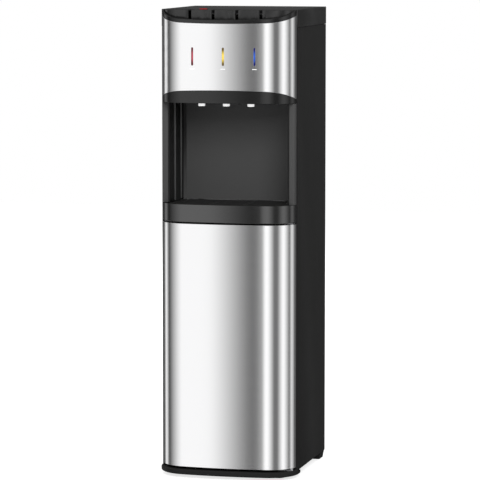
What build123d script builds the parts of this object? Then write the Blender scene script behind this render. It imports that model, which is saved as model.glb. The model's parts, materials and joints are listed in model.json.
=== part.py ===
"""A free-standing bottom-load water cooler with a bowed steel front.

Millimetres, +Z up.  The origin is on the floor under the middle of the machine.
-Y is the front (door, dispensing bay, keys), +Y the back (condenser), +X the hinge side of the door.
Every physical piece is one named solid, or one named group of like pieces, in parts/.
"""
from math import asin, atan2, cos, sin, sqrt
import os

from build123d import *

os.makedirs("parts", exist_ok=True)

# ---------------------------------------------------------------- driving dimensions: the cabinet
body_width = 310.0  # over the side panels
body_depth = 342.0  # from the crown of the door to the rear edge of the side panels
overall_height = 1040.0  # floor to the flat top
lip_reach = 8.0  # how far the plinth lip stands in front of the door
lip_side_reach = 3.0  # how far the plinth lip stands out at each side
rear_reach = 10.0  # how far the condenser stands behind the side panels
sheet = 1.0  # steel sheet of the casing
moulding = 2.5  # wall of the moulded plastic pieces
seat_gap = 0.3  # space between a piece and what carries it

# ---------------------------------------------------------------- driving dimensions: the bowed front
bow_radius = 900.0  # shallow front curve
corner_radius = 66.0  # round corner each side of it
seam_set_back = 55.0  # crown of the front to the vertical seam with the side panels
seam_gap = 3.0  # dark groove along that seam
skin = 0.8  # brushed steel skin
skin_gap = 0.2  # glue line between the skin and the moulding behind it

# ---------------------------------------------------------------- driving dimensions: levels
plinth_bottom = 7.5
plinth_top = 19.0
side_bottom = 16.0
door_bottom = 24.5
door_drop = 471.5  # top of the machine to the top of the door
tray_gap = 3.0  # shadow gap between the door and the drip tray
tray_height = 39.5
visor_drop = 205.0  # top of the machine to the underside of the black visor over the bay
steel_low_drop = 176.0  # to the lower edge of the upper steel panel, at the crown
steel_low_slope = 0.36  # how fast that edge falls towards the corners
steel_high_drop = 27.0  # to its upper edge, at the crown
steel_high_slope = 0.33  # how fast that edge climbs towards the corners
rim_height = 4.4  # black rim above the steel, at the crown
skirt_height = 39.0  # side skirt of the top cover
panel_seam = 0.8  # seam between the skirt and the side panels

# ---------------------------------------------------------------- driving dimensions: bay and cabinet
bay_side = 20.0  # outside of the cabinet to the side wall of the bay
bay_depth = 157.0  # crown of the front to the back wall of the bay
bay_corner = 40.0
column_set_back = 46.0  # crown of the front to the face of the grey columns
deck_sheet = 2.0
deck_flange = 24.0
liner_side = 8.0  # outside of the cabinet to the inside of its liner
liner_wall = 2.0
liner_corner = 30.0
liner_back_gap = 12.0  # rear edge of the side panels to the inside of the liner's back wall

# ---------------------------------------------------------------- driving dimensions: controls
key_pitch = 53.7
key_slot = 7.0
key_face_set_back = 17.0  # crown of the front to the key faces
key_depth = 35.0
pocket_side = 4.0  # outside of the cabinet to the side of the bowed wall behind the rim
pocket_corner = 45.0
pivot_drop = 10.0  # top of the keys to the shaft they turn on
pivot_inset = 4.5  # rear edge of the keys to the same shaft
shaft_radius = 2.0
running_gap = 0.05  # radial clearance of pins and shafts
key_hang = 28.0  # height of the key faces
boss_drop = 8.0  # shaft to the foot of the boss that pushes the plunger
nozzle_pitch = 55.8
nozzle_set_back = 30.0
nozzle_radius = 7.5
nozzle_drop = 7.0  # how far the nozzles hang below the visor
valve_radius = 11.0
valve_height = 52.0
plunger_radius = 3.0
light_pitch = 70.0
light_width = 4.2
light_height = 39.5
light_drop = 102.0  # top of the machine to the middle of the lights

# ---------------------------------------------------------------- driving dimensions: cooling and water
compressor_space = 31.0  # front and back of the compressor to the walls of its bay
compressor_height = 132.0
hot_tank_space = 39.0  # the same for the hot tank
hot_tank_height = 130.0
jacket_wall = 8.0
cold_tank_space = 14.0  # and for the foam round the cold tank
tanks_gap = 1.5  # between the jacket and the foam
jacket_side = 10.9  # side panel to the jacket of the hot tank, where the works are narrow
drier_space = 29.0  # the other side panel to the foam, where the drier stands
nozzle_cover = 5.3  # how far the cold tank reaches past the middle tap
hot_shift = 2.0  # how far each stands behind the middle of the works
cold_shift = 7.0
compressor_shift = 10.0
compressor_side = 27.0  # outside of the cabinet to the compressor
tank_wall = 1.0
cold_tank_height = 150.0
foam_wall = 20.0
tube_radius = 2.4  # refrigerant tube
hose_radius = 4.5  # food-grade water hose
hose_bore = 3.0
coil_passes = 9
coil_rise = 131.0  # floor pan to the lowest pass of the condenser tube
coil_side = 35.0  # outside of the cabinet to the straight part of the condenser tube
wire_radius = 0.8
wire_count = 20  # in each of the two layers
shelf_drop = 295.0  # top of the machine to the shelf that carries the tanks
grommet_height = 8.0

# ---------------------------------------------------------------- places that follow from them
half_width = body_width / 2
front_y = lip_reach - (lip_reach + body_depth + rear_reach) / 2
rear_y = front_y + body_depth
door_top = overall_height - door_drop
visor_bottom = overall_height - visor_drop
steel_low = overall_height - steel_low_drop
steel_high = overall_height - steel_high_drop
light_centre = overall_height - light_drop
shelf_height = overall_height - shelf_drop
bay_half_width = half_width - bay_side
liner_half_width = half_width - liner_side
pocket_half_width = half_width - pocket_side
coil_half_length = half_width - coil_side
seam_y = front_y + seam_set_back
side_front_y = seam_y + seam_gap
tray_bottom = door_top + tray_gap
tray_top = tray_bottom + tray_height
deck_top = tray_bottom - seat_gap
deck_rear_y = rear_y - liner_back_gap + liner_wall
skirt_bottom = overall_height - skirt_height
side_top = skirt_bottom - panel_seam
side_inner_x = half_width - sheet
rear_panel_y = rear_y - sheet - skin_gap  # outer face of the rear panel
shell_wall = skin + moulding
bay_back_y = front_y + bay_depth
column_inner_x = bay_half_width + moulding + 0.5
nozzle_y = front_y + nozzle_set_back
nozzle_xs = (-nozzle_pitch, 0.0, nozzle_pitch)
key_xs = (-key_pitch, 0.0, key_pitch)
key_names = ("hot", "room", "cold")
light_xs = (-light_pitch, 0.0, light_pitch)
key_width = key_pitch - key_slot
key_face_y = front_y + key_face_set_back
key_back_y = key_face_y + key_depth
pivot_y = key_back_y - pivot_inset
pivot_z = overall_height - pivot_drop
ledge_top = overall_height - key_hang - 3.5
carrier_top = ledge_top - moulding
works_front_y = bay_back_y + moulding + 1
works_rear_y = rear_panel_y - sheet - 1
works_half_depth = (works_rear_y - works_front_y) / 2
works_mid_y = works_front_y + works_half_depth
compressor_radius = works_half_depth - compressor_space
compressor_x, compressor_y = compressor_side + compressor_radius - half_width, works_mid_y + compressor_shift
foam_edge_x = -nozzle_cover - foam_wall  # side of the foam next to the jacket
foam_half = min(works_half_depth - cold_tank_space, (side_inner_x - drier_space - foam_edge_x) / 2)
cold_tank_radius = foam_half - foam_wall
cold_x, cold_y = foam_edge_x + foam_half, works_mid_y + cold_shift
jacket_edge_x = foam_edge_x - tanks_gap
hot_outer = min(works_half_depth - hot_tank_space + jacket_wall,
                (side_inner_x - jacket_side + jacket_edge_x) / 2)
hot_tank_radius = hot_outer - jacket_wall
hot_x, hot_y = jacket_edge_x - hot_outer, works_mid_y + hot_shift


def bow(inset, back, front=front_y, half=half_width, corner=corner_radius, arc=bow_radius):
    """D-shaped plan: a shallow front arc, a round corner each side, straight flanks to the back."""
    corner_x = half - corner
    centre_y = front + arc
    corner_y = centre_y - sqrt((arc - corner) ** 2 - corner_x**2)
    swing = atan2(corner_y - centre_y, corner_x)
    arc, corner = arc - inset, corner - inset
    start = asin(min(0.0, (back - corner_y) / corner))

    def at(angle):
        return corner_x + corner * cos(angle), corner_y + corner * sin(angle)

    first, middle, last = at(start), at((start + swing) / 2), at(swing)
    with BuildSketch(mode=Mode.PRIVATE) as face:
        with BuildLine():
            ThreePointArc(first, middle, last)
            ThreePointArc(last, (0, centre_y - arc), (-last[0], last[1]))
            ThreePointArc((-last[0], last[1]), (-middle[0], middle[1]), (-first[0], first[1]))
            if back > first[1] + 1e-6:
                Line((-first[0], first[1]), (-first[0], back))
                Line((-first[0], back), (first[0], back))
                Line((first[0], back), first)
            else:
                Line((-first[0], first[1]), first)
        make_face()
    return face.sketch


def bow_y(x, inset=0.0):
    """Where the shallow front arc, set in by inset, stands at a distance x from the middle."""
    return front_y + bow_radius - sqrt((bow_radius - inset) ** 2 - x**2)


def sloped(height, slope):
    """Plane across the front that passes the crown at a height and climbs towards the back."""
    return Plane(origin=(0, front_y, height), x_dir=(1, 0, 0), z_dir=(0, -slope, 1))


def upright(y):
    """Plane that faces the front, with its X along the machine's X and its Y upwards."""
    return Plane.XZ.offset(-y)


def save(builder, name):
    builder.part.label = name
    export_step(builder.part, f"parts/{name}.step")


# ================================================================ casing
# The plinth: a lip round the toe of the machine, a floor pan behind it and an upstand at each side.
front_return = 5.5  # narrow return along the front edge of each side panel
lip_round = 3.5
lip_corner = corner_radius + 4.0
lip_back = seam_y + 24.0
pan_half = side_inner_x - 1.0
upstand = 12.0
lip_face = dict(front=front_y - lip_reach, half=half_width + lip_side_reach, corner=lip_corner)
with BuildPart() as base_plinth:
    with BuildSketch(Plane.XY.offset(plinth_bottom)):
        add(bow(0, lip_back, **lip_face))
    extrude(amount=plinth_top - plinth_bottom)
    lip_edges = base_plinth.edges().filter_by(Axis.Z, reverse=True)
    fillet(lip_edges.filter_by(lambda edge: edge.center().Y < lip_back - 1), lip_round)
    with BuildSketch(Plane.XY.offset(plinth_bottom)):
        add(bow(moulding * 2, lip_back - moulding, **lip_face))
    extrude(amount=plinth_top - plinth_bottom - moulding, mode=Mode.SUBTRACT)
    with BuildSketch(Plane.XY.offset(plinth_top - moulding)):
        with Locations((0, (lip_back - 1 + deck_rear_y) / 2)):
            Rectangle(2 * pan_half, deck_rear_y - lip_back + 1)
    extrude(amount=moulding)
    with BuildSketch(Plane.XY.offset(plinth_top)):
        for side in (-1, 1):
            with Locations((side * (pan_half - moulding / 2), (lip_back + deck_rear_y) / 2)):
                Rectangle(moulding, deck_rear_y - lip_back)
    extrude(amount=upstand)
    with Locations(*[(side * (side_inner_x + 4), lip_back, side_bottom + 2) for side in (-1, 1)]):
        Box(10, 2 * (lip_back - side_front_y) + 1, 4 + 2 * seat_gap, mode=Mode.SUBTRACT)
    with Locations(*[(side * side_inner_x, side_front_y, side_bottom + 2) for side in (-1, 1)]):
        Box(2 * front_return, 3 * sheet, 4 + 2 * seat_gap, mode=Mode.SUBTRACT)
save(base_plinth, "base_plinth")

# Two round glides under the toe and two tapered moulded feet at the back, where they show.
glide_radius = 16.0
glide_x = half_width - 43
glide_set_back = 60.0
rear_foot_width = 22.0
rear_foot_length = 42.0
rear_foot_taper = 2.5
foot_height = plinth_top - moulding
with BuildPart() as feet:
    with Locations(*[(side * glide_x, front_y + glide_set_back, 0) for side in (-1, 1)]):
        Cylinder(glide_radius, foot_height, align=(Align.CENTER, Align.CENTER, Align.MIN))
    fillet(feet.edges().group_by(Axis.Z)[0], 2)
    for side in (-1, 1):
        foot_centre = (side * (side_inner_x - rear_foot_width / 2), rear_y - 24)
        with BuildSketch(Plane.XY):
            with Locations(foot_centre):
                Rectangle(rear_foot_width - 2 * rear_foot_taper, rear_foot_length - 2 * rear_foot_taper)
        with BuildSketch(Plane.XY.offset(foot_height)):
            with Locations(foot_centre):
                Rectangle(rear_foot_width, rear_foot_length)
        loft()
save(feet, "feet")

# Side panels: one bent sheet each, with a narrow return at the front and a screw flange at the back.
rear_flange = 12.0
screw_radius = 1.5
screw_clearance = 0.3
screw_x = half_width - rear_flange / 2
screw_margin = 18.0
screw_count = 7
screw_pitch = (side_top - side_bottom - 2 * screw_margin) / (screw_count - 1)
screw_zs = [side_bottom + screw_margin + step * screw_pitch for step in range(screw_count)]


def side_panel(side):
    inner = side_inner_x
    outline = [
        (half_width - front_return, side_front_y),
        (half_width, side_front_y),
        (half_width, rear_y),
        (half_width - rear_flange, rear_y),
        (half_width - rear_flange, rear_y - sheet),
        (inner, rear_y - sheet),
        (inner, side_front_y + sheet),
        (half_width - front_return, side_front_y + sheet),
    ]
    with BuildPart() as panel:
        with BuildSketch(Plane.XY.offset(side_bottom)):
            with BuildLine():
                Polyline(*[(side * x, y) for x, y in outline], close=True)
            make_face()
            outer_corners = vertices().filter_by(lambda v: abs(abs(v.X) - half_width) < 1e-6)
            fillet(outer_corners, sheet * 1.8)
        extrude(amount=side_top - side_bottom)
        with BuildSketch(upright(rear_y)):
            with Locations(*[(side * screw_x, z) for z in screw_zs]):
                Circle(screw_radius + screw_clearance)
        extrude(amount=sheet * 2, mode=Mode.SUBTRACT)
    return panel


for side, name in ((-1, "side_panel_left"), (1, "side_panel_right")):
    save(side_panel(side), name)

# Rear panel with louvres, the pass-throughs of the tubes, and the windows for switches and gland.
panel_half = side_inner_x - 0.7
louvre_length = 96.0
louvre_height = 4.0
louvre_rows = 7
louvre_pitch = 11.0
louvre_x = half_width * 0.4
louvre_low_z = deck_top + 55
louvre_mid_z = louvre_low_z + (louvre_rows + 1) * louvre_pitch
louvre_high_z = side_top - 62
switch_x, switch_z = 55 - half_width, overall_height - 115
window_width, window_height = 56.0, 26.0
gland_x, gland_z = half_width - 35, plinth_top + 51
gland_radius = 8.0
drain_x, drain_z = hot_x + 7, shelf_height + 28
drain_radius = 5.0
drain_flange = 1.5
drain_reach = 8.0  # how far the drain pipe stands behind the rear panel
cap_length = 8.2
discharge_x = -coil_half_length - 20
liquid_x = coil_half_length + 12
tube_exit_z = deck_top + 28.8
coil_top = deck_top - 61.2
coil_bottom = plinth_top + coil_rise
coil_pitch = (coil_top - coil_bottom) / (coil_passes - 1)
with BuildPart() as rear_panel:
    with BuildSketch(upright(rear_panel_y)):
        with Locations((0, (side_bottom + side_top) / 2)):
            Rectangle(2 * panel_half, side_top - side_bottom)
        with Locations((-louvre_x, louvre_low_z), (louvre_x, louvre_low_z), (louvre_x, louvre_high_z),
                       (-louvre_x, louvre_mid_z), (louvre_x, louvre_mid_z)):
            with GridLocations(1, louvre_pitch, 1, louvre_rows):
                SlotOverall(louvre_length, louvre_height, mode=Mode.SUBTRACT)
        with Locations((switch_x, switch_z)):
            Rectangle(window_width, window_height, mode=Mode.SUBTRACT)
        with Locations((gland_x, gland_z)):
            Circle(gland_radius + 0.2, mode=Mode.SUBTRACT)
        with Locations((drain_x, drain_z)):
            Circle(drain_radius + 0.5, mode=Mode.SUBTRACT)
        with Locations((discharge_x, tube_exit_z), (liquid_x, coil_bottom)):
            Circle(tube_radius + 1.5, mode=Mode.SUBTRACT)
        with Locations(*[(side * screw_x, z) for z in screw_zs for side in (-1, 1)]):
            Circle(screw_radius + screw_clearance, mode=Mode.SUBTRACT)
    extrude(amount=sheet)
save(rear_panel, "rear_panel")

# Pan-head screws with a cross recess, through the side panels' flanges into the rear panel.
screw_head_radius = 3.4
screw_head_height = 2.0
with BuildPart() as rear_screws:
    screw_spots = [(side * screw_x, rear_y, z) for z in screw_zs for side in (-1, 1)]
    with Locations(*[Location(spot, (-90, 0, 0)) for spot in screw_spots]):
        Cylinder(screw_head_radius, screw_head_height, align=(Align.CENTER, Align.CENTER, Align.MIN))
    fillet(rear_screws.edges().group_by(Axis.Y)[-1], screw_head_height * 0.45)
    with Locations(*[Location(spot, (90, 0, 0)) for spot in screw_spots]):
        Cylinder(screw_radius, 8, align=(Align.CENTER, Align.CENTER, Align.MIN))
    with Locations(*[Location((x, y + screw_head_height, z)) for x, y, z in screw_spots]):
        Box(screw_head_radius * 1.1, 2, 0.7, mode=Mode.SUBTRACT)
        Box(0.7, 2, screw_head_radius * 1.1, mode=Mode.SUBTRACT)
save(rear_screws, "rear_screws")

# Top cover: flat top, skirt over the side panels, and a bowed wall that frames the keys.
pocket = dict(front=key_face_y, half=pocket_half_width, corner=pocket_corner)
key_opening = 3 * key_pitch + key_slot
with BuildPart() as top_cover:
    with BuildSketch(Plane.XY.offset(skirt_bottom)):
        with Locations((0, (side_front_y + rear_y) / 2)):
            Rectangle(body_width, rear_y - side_front_y)
    extrude(amount=skirt_height)
    with BuildSketch(Plane.XY.offset(ledge_top + 0.5)):
        add(bow(0, side_front_y + moulding, **pocket))
    extrude(amount=overall_height - ledge_top - 0.5)
    fillet(top_cover.edges().group_by(Axis.Z)[-1], 1.2)
    with BuildSketch(Plane.XY.offset(skirt_bottom)):
        with Locations((0, (side_front_y + rear_y) / 2)):
            Rectangle(body_width - 2 * moulding, rear_y - side_front_y - 2 * moulding)
    extrude(amount=skirt_height - moulding, mode=Mode.SUBTRACT)
    with BuildSketch(Plane.XY.offset(skirt_bottom)):
        add(bow(moulding, side_front_y + 2 * moulding, **pocket))
    extrude(amount=skirt_height - moulding, mode=Mode.SUBTRACT)
    with Locations((0, key_back_y + 0.6, overall_height)):
        Box(key_opening, 2 * key_depth, 3 * key_hang, align=(Align.CENTER, Align.MAX, Align.CENTER),
            mode=Mode.SUBTRACT)
save(top_cover, "top_cover")

# Sheet-steel deck between the bottle cabinet and the works, with its edges turned down.
probe_x, probe_y = half_width - 37, rear_y - liner_back_gap - 22
hose_y = rear_y - liner_back_gap - 14
hose_turn = 28.0
inlet_x = probe_x - 4 * hose_turn
with BuildPart() as mid_deck:
    with BuildSketch(Plane.XY.offset(deck_top - deck_flange)):
        with Locations((0, (side_front_y + sheet + deck_rear_y) / 2)):
            Rectangle(2 * side_inner_x - 1, deck_rear_y - side_front_y - sheet)
    extrude(amount=deck_flange)
    with BuildSketch(Plane.XY.offset(deck_top - deck_flange)):
        with Locations((0, (side_front_y + sheet + deck_rear_y) / 2)):
            Rectangle(2 * side_inner_x - 1 - 2 * deck_sheet,
                      deck_rear_y - side_front_y - sheet - 2 * deck_sheet)
    extrude(amount=deck_flange - deck_sheet, mode=Mode.SUBTRACT)
    with Locations((inlet_x, hose_y, deck_top)):
        Hole(hose_radius + 0.6, depth=deck_sheet * 2)
save(mid_deck, "mid_deck")

# Moulded liner of the bottle cabinet, with clips for the probe hose and a hook for the probe.
liner_top = deck_top - deck_flange - seat_gap
collar_radius = 20.0
collar_height = 40.0
collar_base = liner_top - 94.9
probe_foot_z = plinth_top + 43  # the parked probe's tip
clip_wall = 2.0
clip_height = 12.0
clip_z = collar_base - 34
hook_sheet = 6.0
wand_radius = 5.0
hose_low = collar_base - 122  # lowest point of the straight runs of the probe hose
with BuildPart() as cabinet_liner:
    with BuildSketch(Plane.XY.offset(plinth_top)):
        with Locations((0, deck_rear_y)):
            Rectangle(2 * (liner_half_width + liner_wall), deck_rear_y - side_front_y - 4,
                      align=(Align.CENTER, Align.MAX))
        fillet(vertices().group_by(Axis.Y)[-1], liner_corner + liner_wall)
    extrude(amount=liner_top - plinth_top)
    with BuildSketch(Plane.XY.offset(plinth_top)):
        with Locations((0, deck_rear_y - liner_wall)):
            Rectangle(2 * liner_half_width, 2 * body_depth, align=(Align.CENTER, Align.MAX))
        fillet(vertices().group_by(Axis.Y)[-1], liner_corner)
    extrude(amount=liner_top - plinth_top, mode=Mode.SUBTRACT)
    hook_reach = deck_rear_y - liner_wall - probe_y
    with BuildSketch(Plane.XY.offset(collar_base - hook_sheet)):
        with Locations((probe_x, deck_rear_y - liner_wall)):
            Rectangle(collar_radius + 8, hook_reach + collar_radius * 0.6, align=(Align.CENTER, Align.MAX))
        with Locations((probe_x, probe_y)):
            Circle(wand_radius + 1.2, mode=Mode.SUBTRACT)
            Rectangle(2 * wand_radius + 1, 3 * collar_radius, align=(Align.CENTER, Align.MAX),
                      mode=Mode.SUBTRACT)
    extrude(amount=hook_sheet - seat_gap)
    clip_spots = [probe_x - 2 * hose_turn, inlet_x]
    with BuildSketch(Plane.XY.offset(clip_z)):
        for x in clip_spots:
            with Locations((x, (hose_y + deck_rear_y - liner_wall) / 2 + 1)):
                Rectangle(2 * (hose_radius + clip_wall), deck_rear_y - liner_wall - hose_y + 4)
            with Locations((x, hose_y)):
                Circle(hose_radius + 0.4, mode=Mode.SUBTRACT)
                Rectangle(1.6 * hose_radius, 4 * hose_radius, align=(Align.CENTER, Align.MAX),
                          mode=Mode.SUBTRACT)
    extrude(amount=clip_height)
save(cabinet_liner, "cabinet_liner")

# Ribbed floor insert that the bottle stands on.
insert_length = deck_rear_y - side_front_y - 30
insert_wall, insert_height, insert_floor = 3.0, 6.0, 2.5
ring_pitch, ring_width = 35.0, 1.5
insert_y = side_front_y + 10 + insert_length / 2
with BuildPart() as bottle_plate:
    with BuildSketch(Plane.XY.offset(plinth_top)):
        with Locations((0, insert_y)):
            RectangleRounded(2 * liner_half_width - 4, insert_length, 20)
    extrude(amount=insert_height)
    with BuildSketch(Plane.XY.offset(plinth_top + insert_floor)):
        with Locations((0, insert_y)):
            RectangleRounded(2 * (liner_half_width - 2 - insert_wall), insert_length - 2 * insert_wall, 17)
    extrude(amount=insert_height, mode=Mode.SUBTRACT)
    with BuildSketch(Plane.XY.offset(plinth_top + insert_floor / 2)):
        with Locations((0, insert_y)):
            for ring in (3, 2, 1):
                Circle(ring * ring_pitch + ring_width)
                Circle(ring * ring_pitch, mode=Mode.SUBTRACT)
    extrude(amount=insert_floor)
save(bottle_plate, "bottle_plate")

# ================================================================ dispensing bay
# Grey columns each side of the bay: a post on the deck and a visible front face above the tray.
post_depth = 15.0
post_top = side_top - 2
rear_return_x = half_width - front_return - 0.5


def bay_column(side):
    column_y = front_y + column_set_back
    middle_x = (column_inner_x + half_width) / 2
    with BuildPart() as column:
        with BuildSketch(Plane.XY.offset(tray_top + seat_gap)):
            add(bow(0, seam_y))
            with Locations((side * middle_x, column_y)):
                Rectangle(half_width - column_inner_x, seam_y - column_y, align=(Align.CENTER, Align.MIN),
                          mode=Mode.INTERSECT)
        extrude(amount=visor_bottom - tray_top - 2 * seat_gap)
        fillet(column.edges().filter_by(Axis.Z).group_by(Axis.Y)[0], 1.5)
        with BuildSketch(Plane.XY.offset(deck_top)):
            with Locations((side * (column_inner_x + rear_return_x) / 2, seam_y)):
                Rectangle(rear_return_x - column_inner_x, post_depth, align=(Align.CENTER, Align.MIN))
        extrude(amount=post_top - deck_top)
    return column


for side, name in ((-1, "bay_column_left"), (1, "bay_column_right")):
    save(bay_column(side), name)

# Bay liner: side walls, rounded corners, back wall and ceiling of the recess.
liner_front_y = front_y + column_set_back + 1
bay_ceiling = visor_bottom + moulding + 0.5
bay_outer = bay_half_width + moulding
with BuildPart() as bay_liner:
    with BuildSketch(Plane.XY.offset(deck_top)):
        with Locations((0, bay_back_y + moulding)):
            Rectangle(2 * bay_outer, bay_back_y + moulding - liner_front_y, align=(Align.CENTER, Align.MAX))
        fillet(vertices().group_by(Axis.Y)[-1], bay_corner + moulding)
    extrude(amount=bay_ceiling + moulding - deck_top)
    with BuildSketch(Plane.XY.offset(deck_top)):
        with Locations((0, bay_back_y)):
            Rectangle(2 * bay_half_width, 2 * bay_depth, align=(Align.CENTER, Align.MAX))
        fillet(vertices().group_by(Axis.Y)[-1], bay_corner)
    extrude(amount=bay_ceiling - deck_top, mode=Mode.SUBTRACT)
    front_cut = seam_y + 0.5 - liner_front_y
    with Locations((0, liner_front_y, deck_top)):  # the tray passes under the visible lips
        Box(body_width, 2 * front_cut, 2 * (tray_top + seat_gap - deck_top), mode=Mode.SUBTRACT)
    with Locations((0, liner_front_y, bay_ceiling)):  # the head's own floor takes over here
        Box(body_width, 2 * front_cut, 4 * moulding, align=(Align.CENTER, Align.CENTER, Align.MIN),
            mode=Mode.SUBTRACT)
    with Locations((0, liner_front_y, visor_bottom - seat_gap)):
        Box(body_width, 2 * front_cut, 6 * moulding, align=(Align.CENTER, Align.CENTER, Align.MIN),
            mode=Mode.SUBTRACT)
save(bay_liner, "bay_liner")

# Head frame: black moulding behind the steel, with the visor below it and the rim above it.
rim_slope = (overall_height - steel_high - rim_height) / seam_set_back
board_boss_x = light_pitch + 14
with BuildPart() as steel_recess:
    with BuildSketch(Plane.XY.offset(visor_bottom)):
        add(bow(-1, seam_y + 1))
        add(bow(skin + skin_gap, seam_y + 1), mode=Mode.SUBTRACT)
    extrude(amount=overall_height - visor_bottom)
    split(bisect_by=sloped(steel_high + skin_gap, steel_high_slope), keep=Keep.BOTTOM)
    split(bisect_by=sloped(steel_low - 2 * skin_gap, -steel_low_slope), keep=Keep.TOP)
with BuildPart() as head_frame:
    with BuildSketch(Plane.XY.offset(visor_bottom)):
        add(bow(0, seam_y))
    extrude(amount=overall_height - visor_bottom)
    split(bisect_by=sloped(steel_high + rim_height, rim_slope), keep=Keep.BOTTOM)
    fillet(head_frame.edges().group_by(Axis.Z)[0].filter_by(lambda e: e.center().Y < seam_y - 1), 1.2)
    with BuildSketch(Plane.XY.offset(visor_bottom + moulding)):
        add(bow(shell_wall, seam_y - moulding))
    extrude(amount=overall_height - visor_bottom, mode=Mode.SUBTRACT)
    with BuildSketch(Plane.XY.offset(ledge_top)):  # above the ledge the returns stop
        add(bow(shell_wall, seam_y + 1))
    extrude(amount=overall_height - ledge_top, mode=Mode.SUBTRACT)
    with Locations((0, seam_y, visor_bottom + moulding)):  # the back is open between the two returns
        Box(2 * column_inner_x, 3 * moulding, overall_height, align=(Align.CENTER, Align.CENTER, Align.MIN),
            mode=Mode.SUBTRACT)
    with BuildSketch(Plane.XY.offset(ledge_top - moulding)):
        add(bow(shell_wall - 0.5, seam_y))
        add(bow(-0.4, seam_y + 10, **pocket), mode=Mode.SUBTRACT)
    extrude(amount=moulding)
    add(steel_recess.part, mode=Mode.SUBTRACT)
    for x in light_xs:  # slots for the three lights
        with Locations((x, bow_y(x), light_centre)):
            Box(light_width + 0.4, 6 * shell_wall, light_height + 0.4, mode=Mode.SUBTRACT)
    with BuildSketch(Plane.XY.offset(visor_bottom)):
        with Locations(*[(x, nozzle_y) for x in nozzle_xs]):
            Circle(nozzle_radius + 0.5)
    extrude(amount=moulding * 2, mode=Mode.SUBTRACT)
    board_y = front_y + 13
    for x in (-board_boss_x, board_boss_x):  # bosses that hold the light board
        with BuildSketch(upright(board_y - 0.2)):
            with Locations((x, light_centre - 16), (x, light_centre + 16)):
                Circle(3)
        extrude(amount=board_y - 0.2 - bow_y(x, skin + skin_gap) - moulding / 2)
save(head_frame, "head_frame")

# Brushed steel skin of the head, with three light slots.
with BuildPart() as upper_front_skin:
    with BuildSketch(Plane.XY.offset(visor_bottom)):
        add(bow(0, seam_y))
        add(bow(skin, seam_y + 1), mode=Mode.SUBTRACT)
    extrude(amount=overall_height - visor_bottom)
    split(bisect_by=sloped(steel_high, steel_high_slope), keep=Keep.BOTTOM)
    split(bisect_by=sloped(steel_low, -steel_low_slope), keep=Keep.TOP)
    with BuildSketch(upright(front_y + 2 * shell_wall)):
        with Locations(*[(x, light_centre) for x in light_xs]):
            SlotOverall(light_height + 0.2, light_width + 0.2, rotation=90)
    extrude(amount=4 * shell_wall, mode=Mode.SUBTRACT)
save(upper_front_skin, "upper_front_skin")

# Three clear light bars, and the board behind that lights them.
for name, x in zip(key_names, light_xs):
    with BuildPart() as light:
        with BuildSketch(upright(board_y - seat_gap)):
            with Locations((x, light_centre)):
                SlotOverall(light_height, light_width, rotation=90)
        extrude(amount=board_y - seat_gap - bow_y(x) - 0.3)
    save(light, f"light_{name}")
with BuildPart() as light_board:
    with Locations((0, board_y, light_centre)):
        Box(2 * board_boss_x + 12, 1.6, light_height + 6, align=(Align.CENTER, Align.MIN, Align.CENTER))
    with Locations(*[(x, board_y + 1.6, light_centre) for x in light_xs]):
        Box(12, 4, 30, align=(Align.CENTER, Align.MIN, Align.CENTER))
save(light_board, "light_board")

# ================================================================ keys and taps
# Keys: hollow paddles that turn on one shaft behind them, each with a boss over its plunger.
lock_slot = (5.0, 12.0)
lock_y = key_back_y - 10.0
wall_drop = 6.5  # how far the keys' side walls reach below the shaft


def key_plan(x, inset):
    """The strip of the bowed pocket that one key fills, set in by a wall."""
    with BuildSketch(mode=Mode.PRIVATE) as plan:
        add(bow(inset, key_back_y + key_depth, **pocket))
        with Locations((x, key_back_y - inset)):
            Rectangle(key_width - 2 * inset, 2 * key_depth, align=(Align.CENTER, Align.MAX),
                      mode=Mode.INTERSECT)
    return plan.sketch


def key(x, plunger_x):
    key_bottom = overall_height - key_hang
    with BuildPart() as paddle:
        with BuildSketch(Plane.XY.offset(key_bottom)):
            add(key_plan(x, 0))
        extrude(amount=key_hang)
        fillet(paddle.edges().group_by(Axis.Z)[-1], 1.0)
        with BuildSketch(Plane.XY.offset(key_bottom)):
            add(key_plan(x, moulding))
        extrude(amount=key_hang - moulding, mode=Mode.SUBTRACT)
        with Locations((x, key_back_y + 1, pivot_z - wall_drop)):
            Box(key_width + 2, key_depth - 2 * moulding, key_hang, align=(Align.CENTER, Align.MAX, Align.MAX),
                mode=Mode.SUBTRACT)
        with Locations(Location((x, pivot_y, pivot_z), (0, 90, 0))):
            Cylinder(pivot_inset, key_width)
        with Locations((plunger_x, nozzle_y, pivot_z - boss_drop)):
            Box(8, 8, boss_drop + pivot_drop - moulding / 2, align=(Align.CENTER, Align.CENTER, Align.MIN))
        with Locations(Location((x, pivot_y, pivot_z), (0, 90, 0))):
            Cylinder(shaft_radius + running_gap, key_width + 2, mode=Mode.SUBTRACT)
        if x < -key_pitch / 2:
            with Locations((x, lock_y, overall_height)):
                Box(*lock_slot, 3 * moulding, mode=Mode.SUBTRACT)
    return paddle


for name, x, plunger_x in zip(key_names, key_xs, nozzle_xs):
    save(key(x, plunger_x), f"key_{name}")

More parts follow.
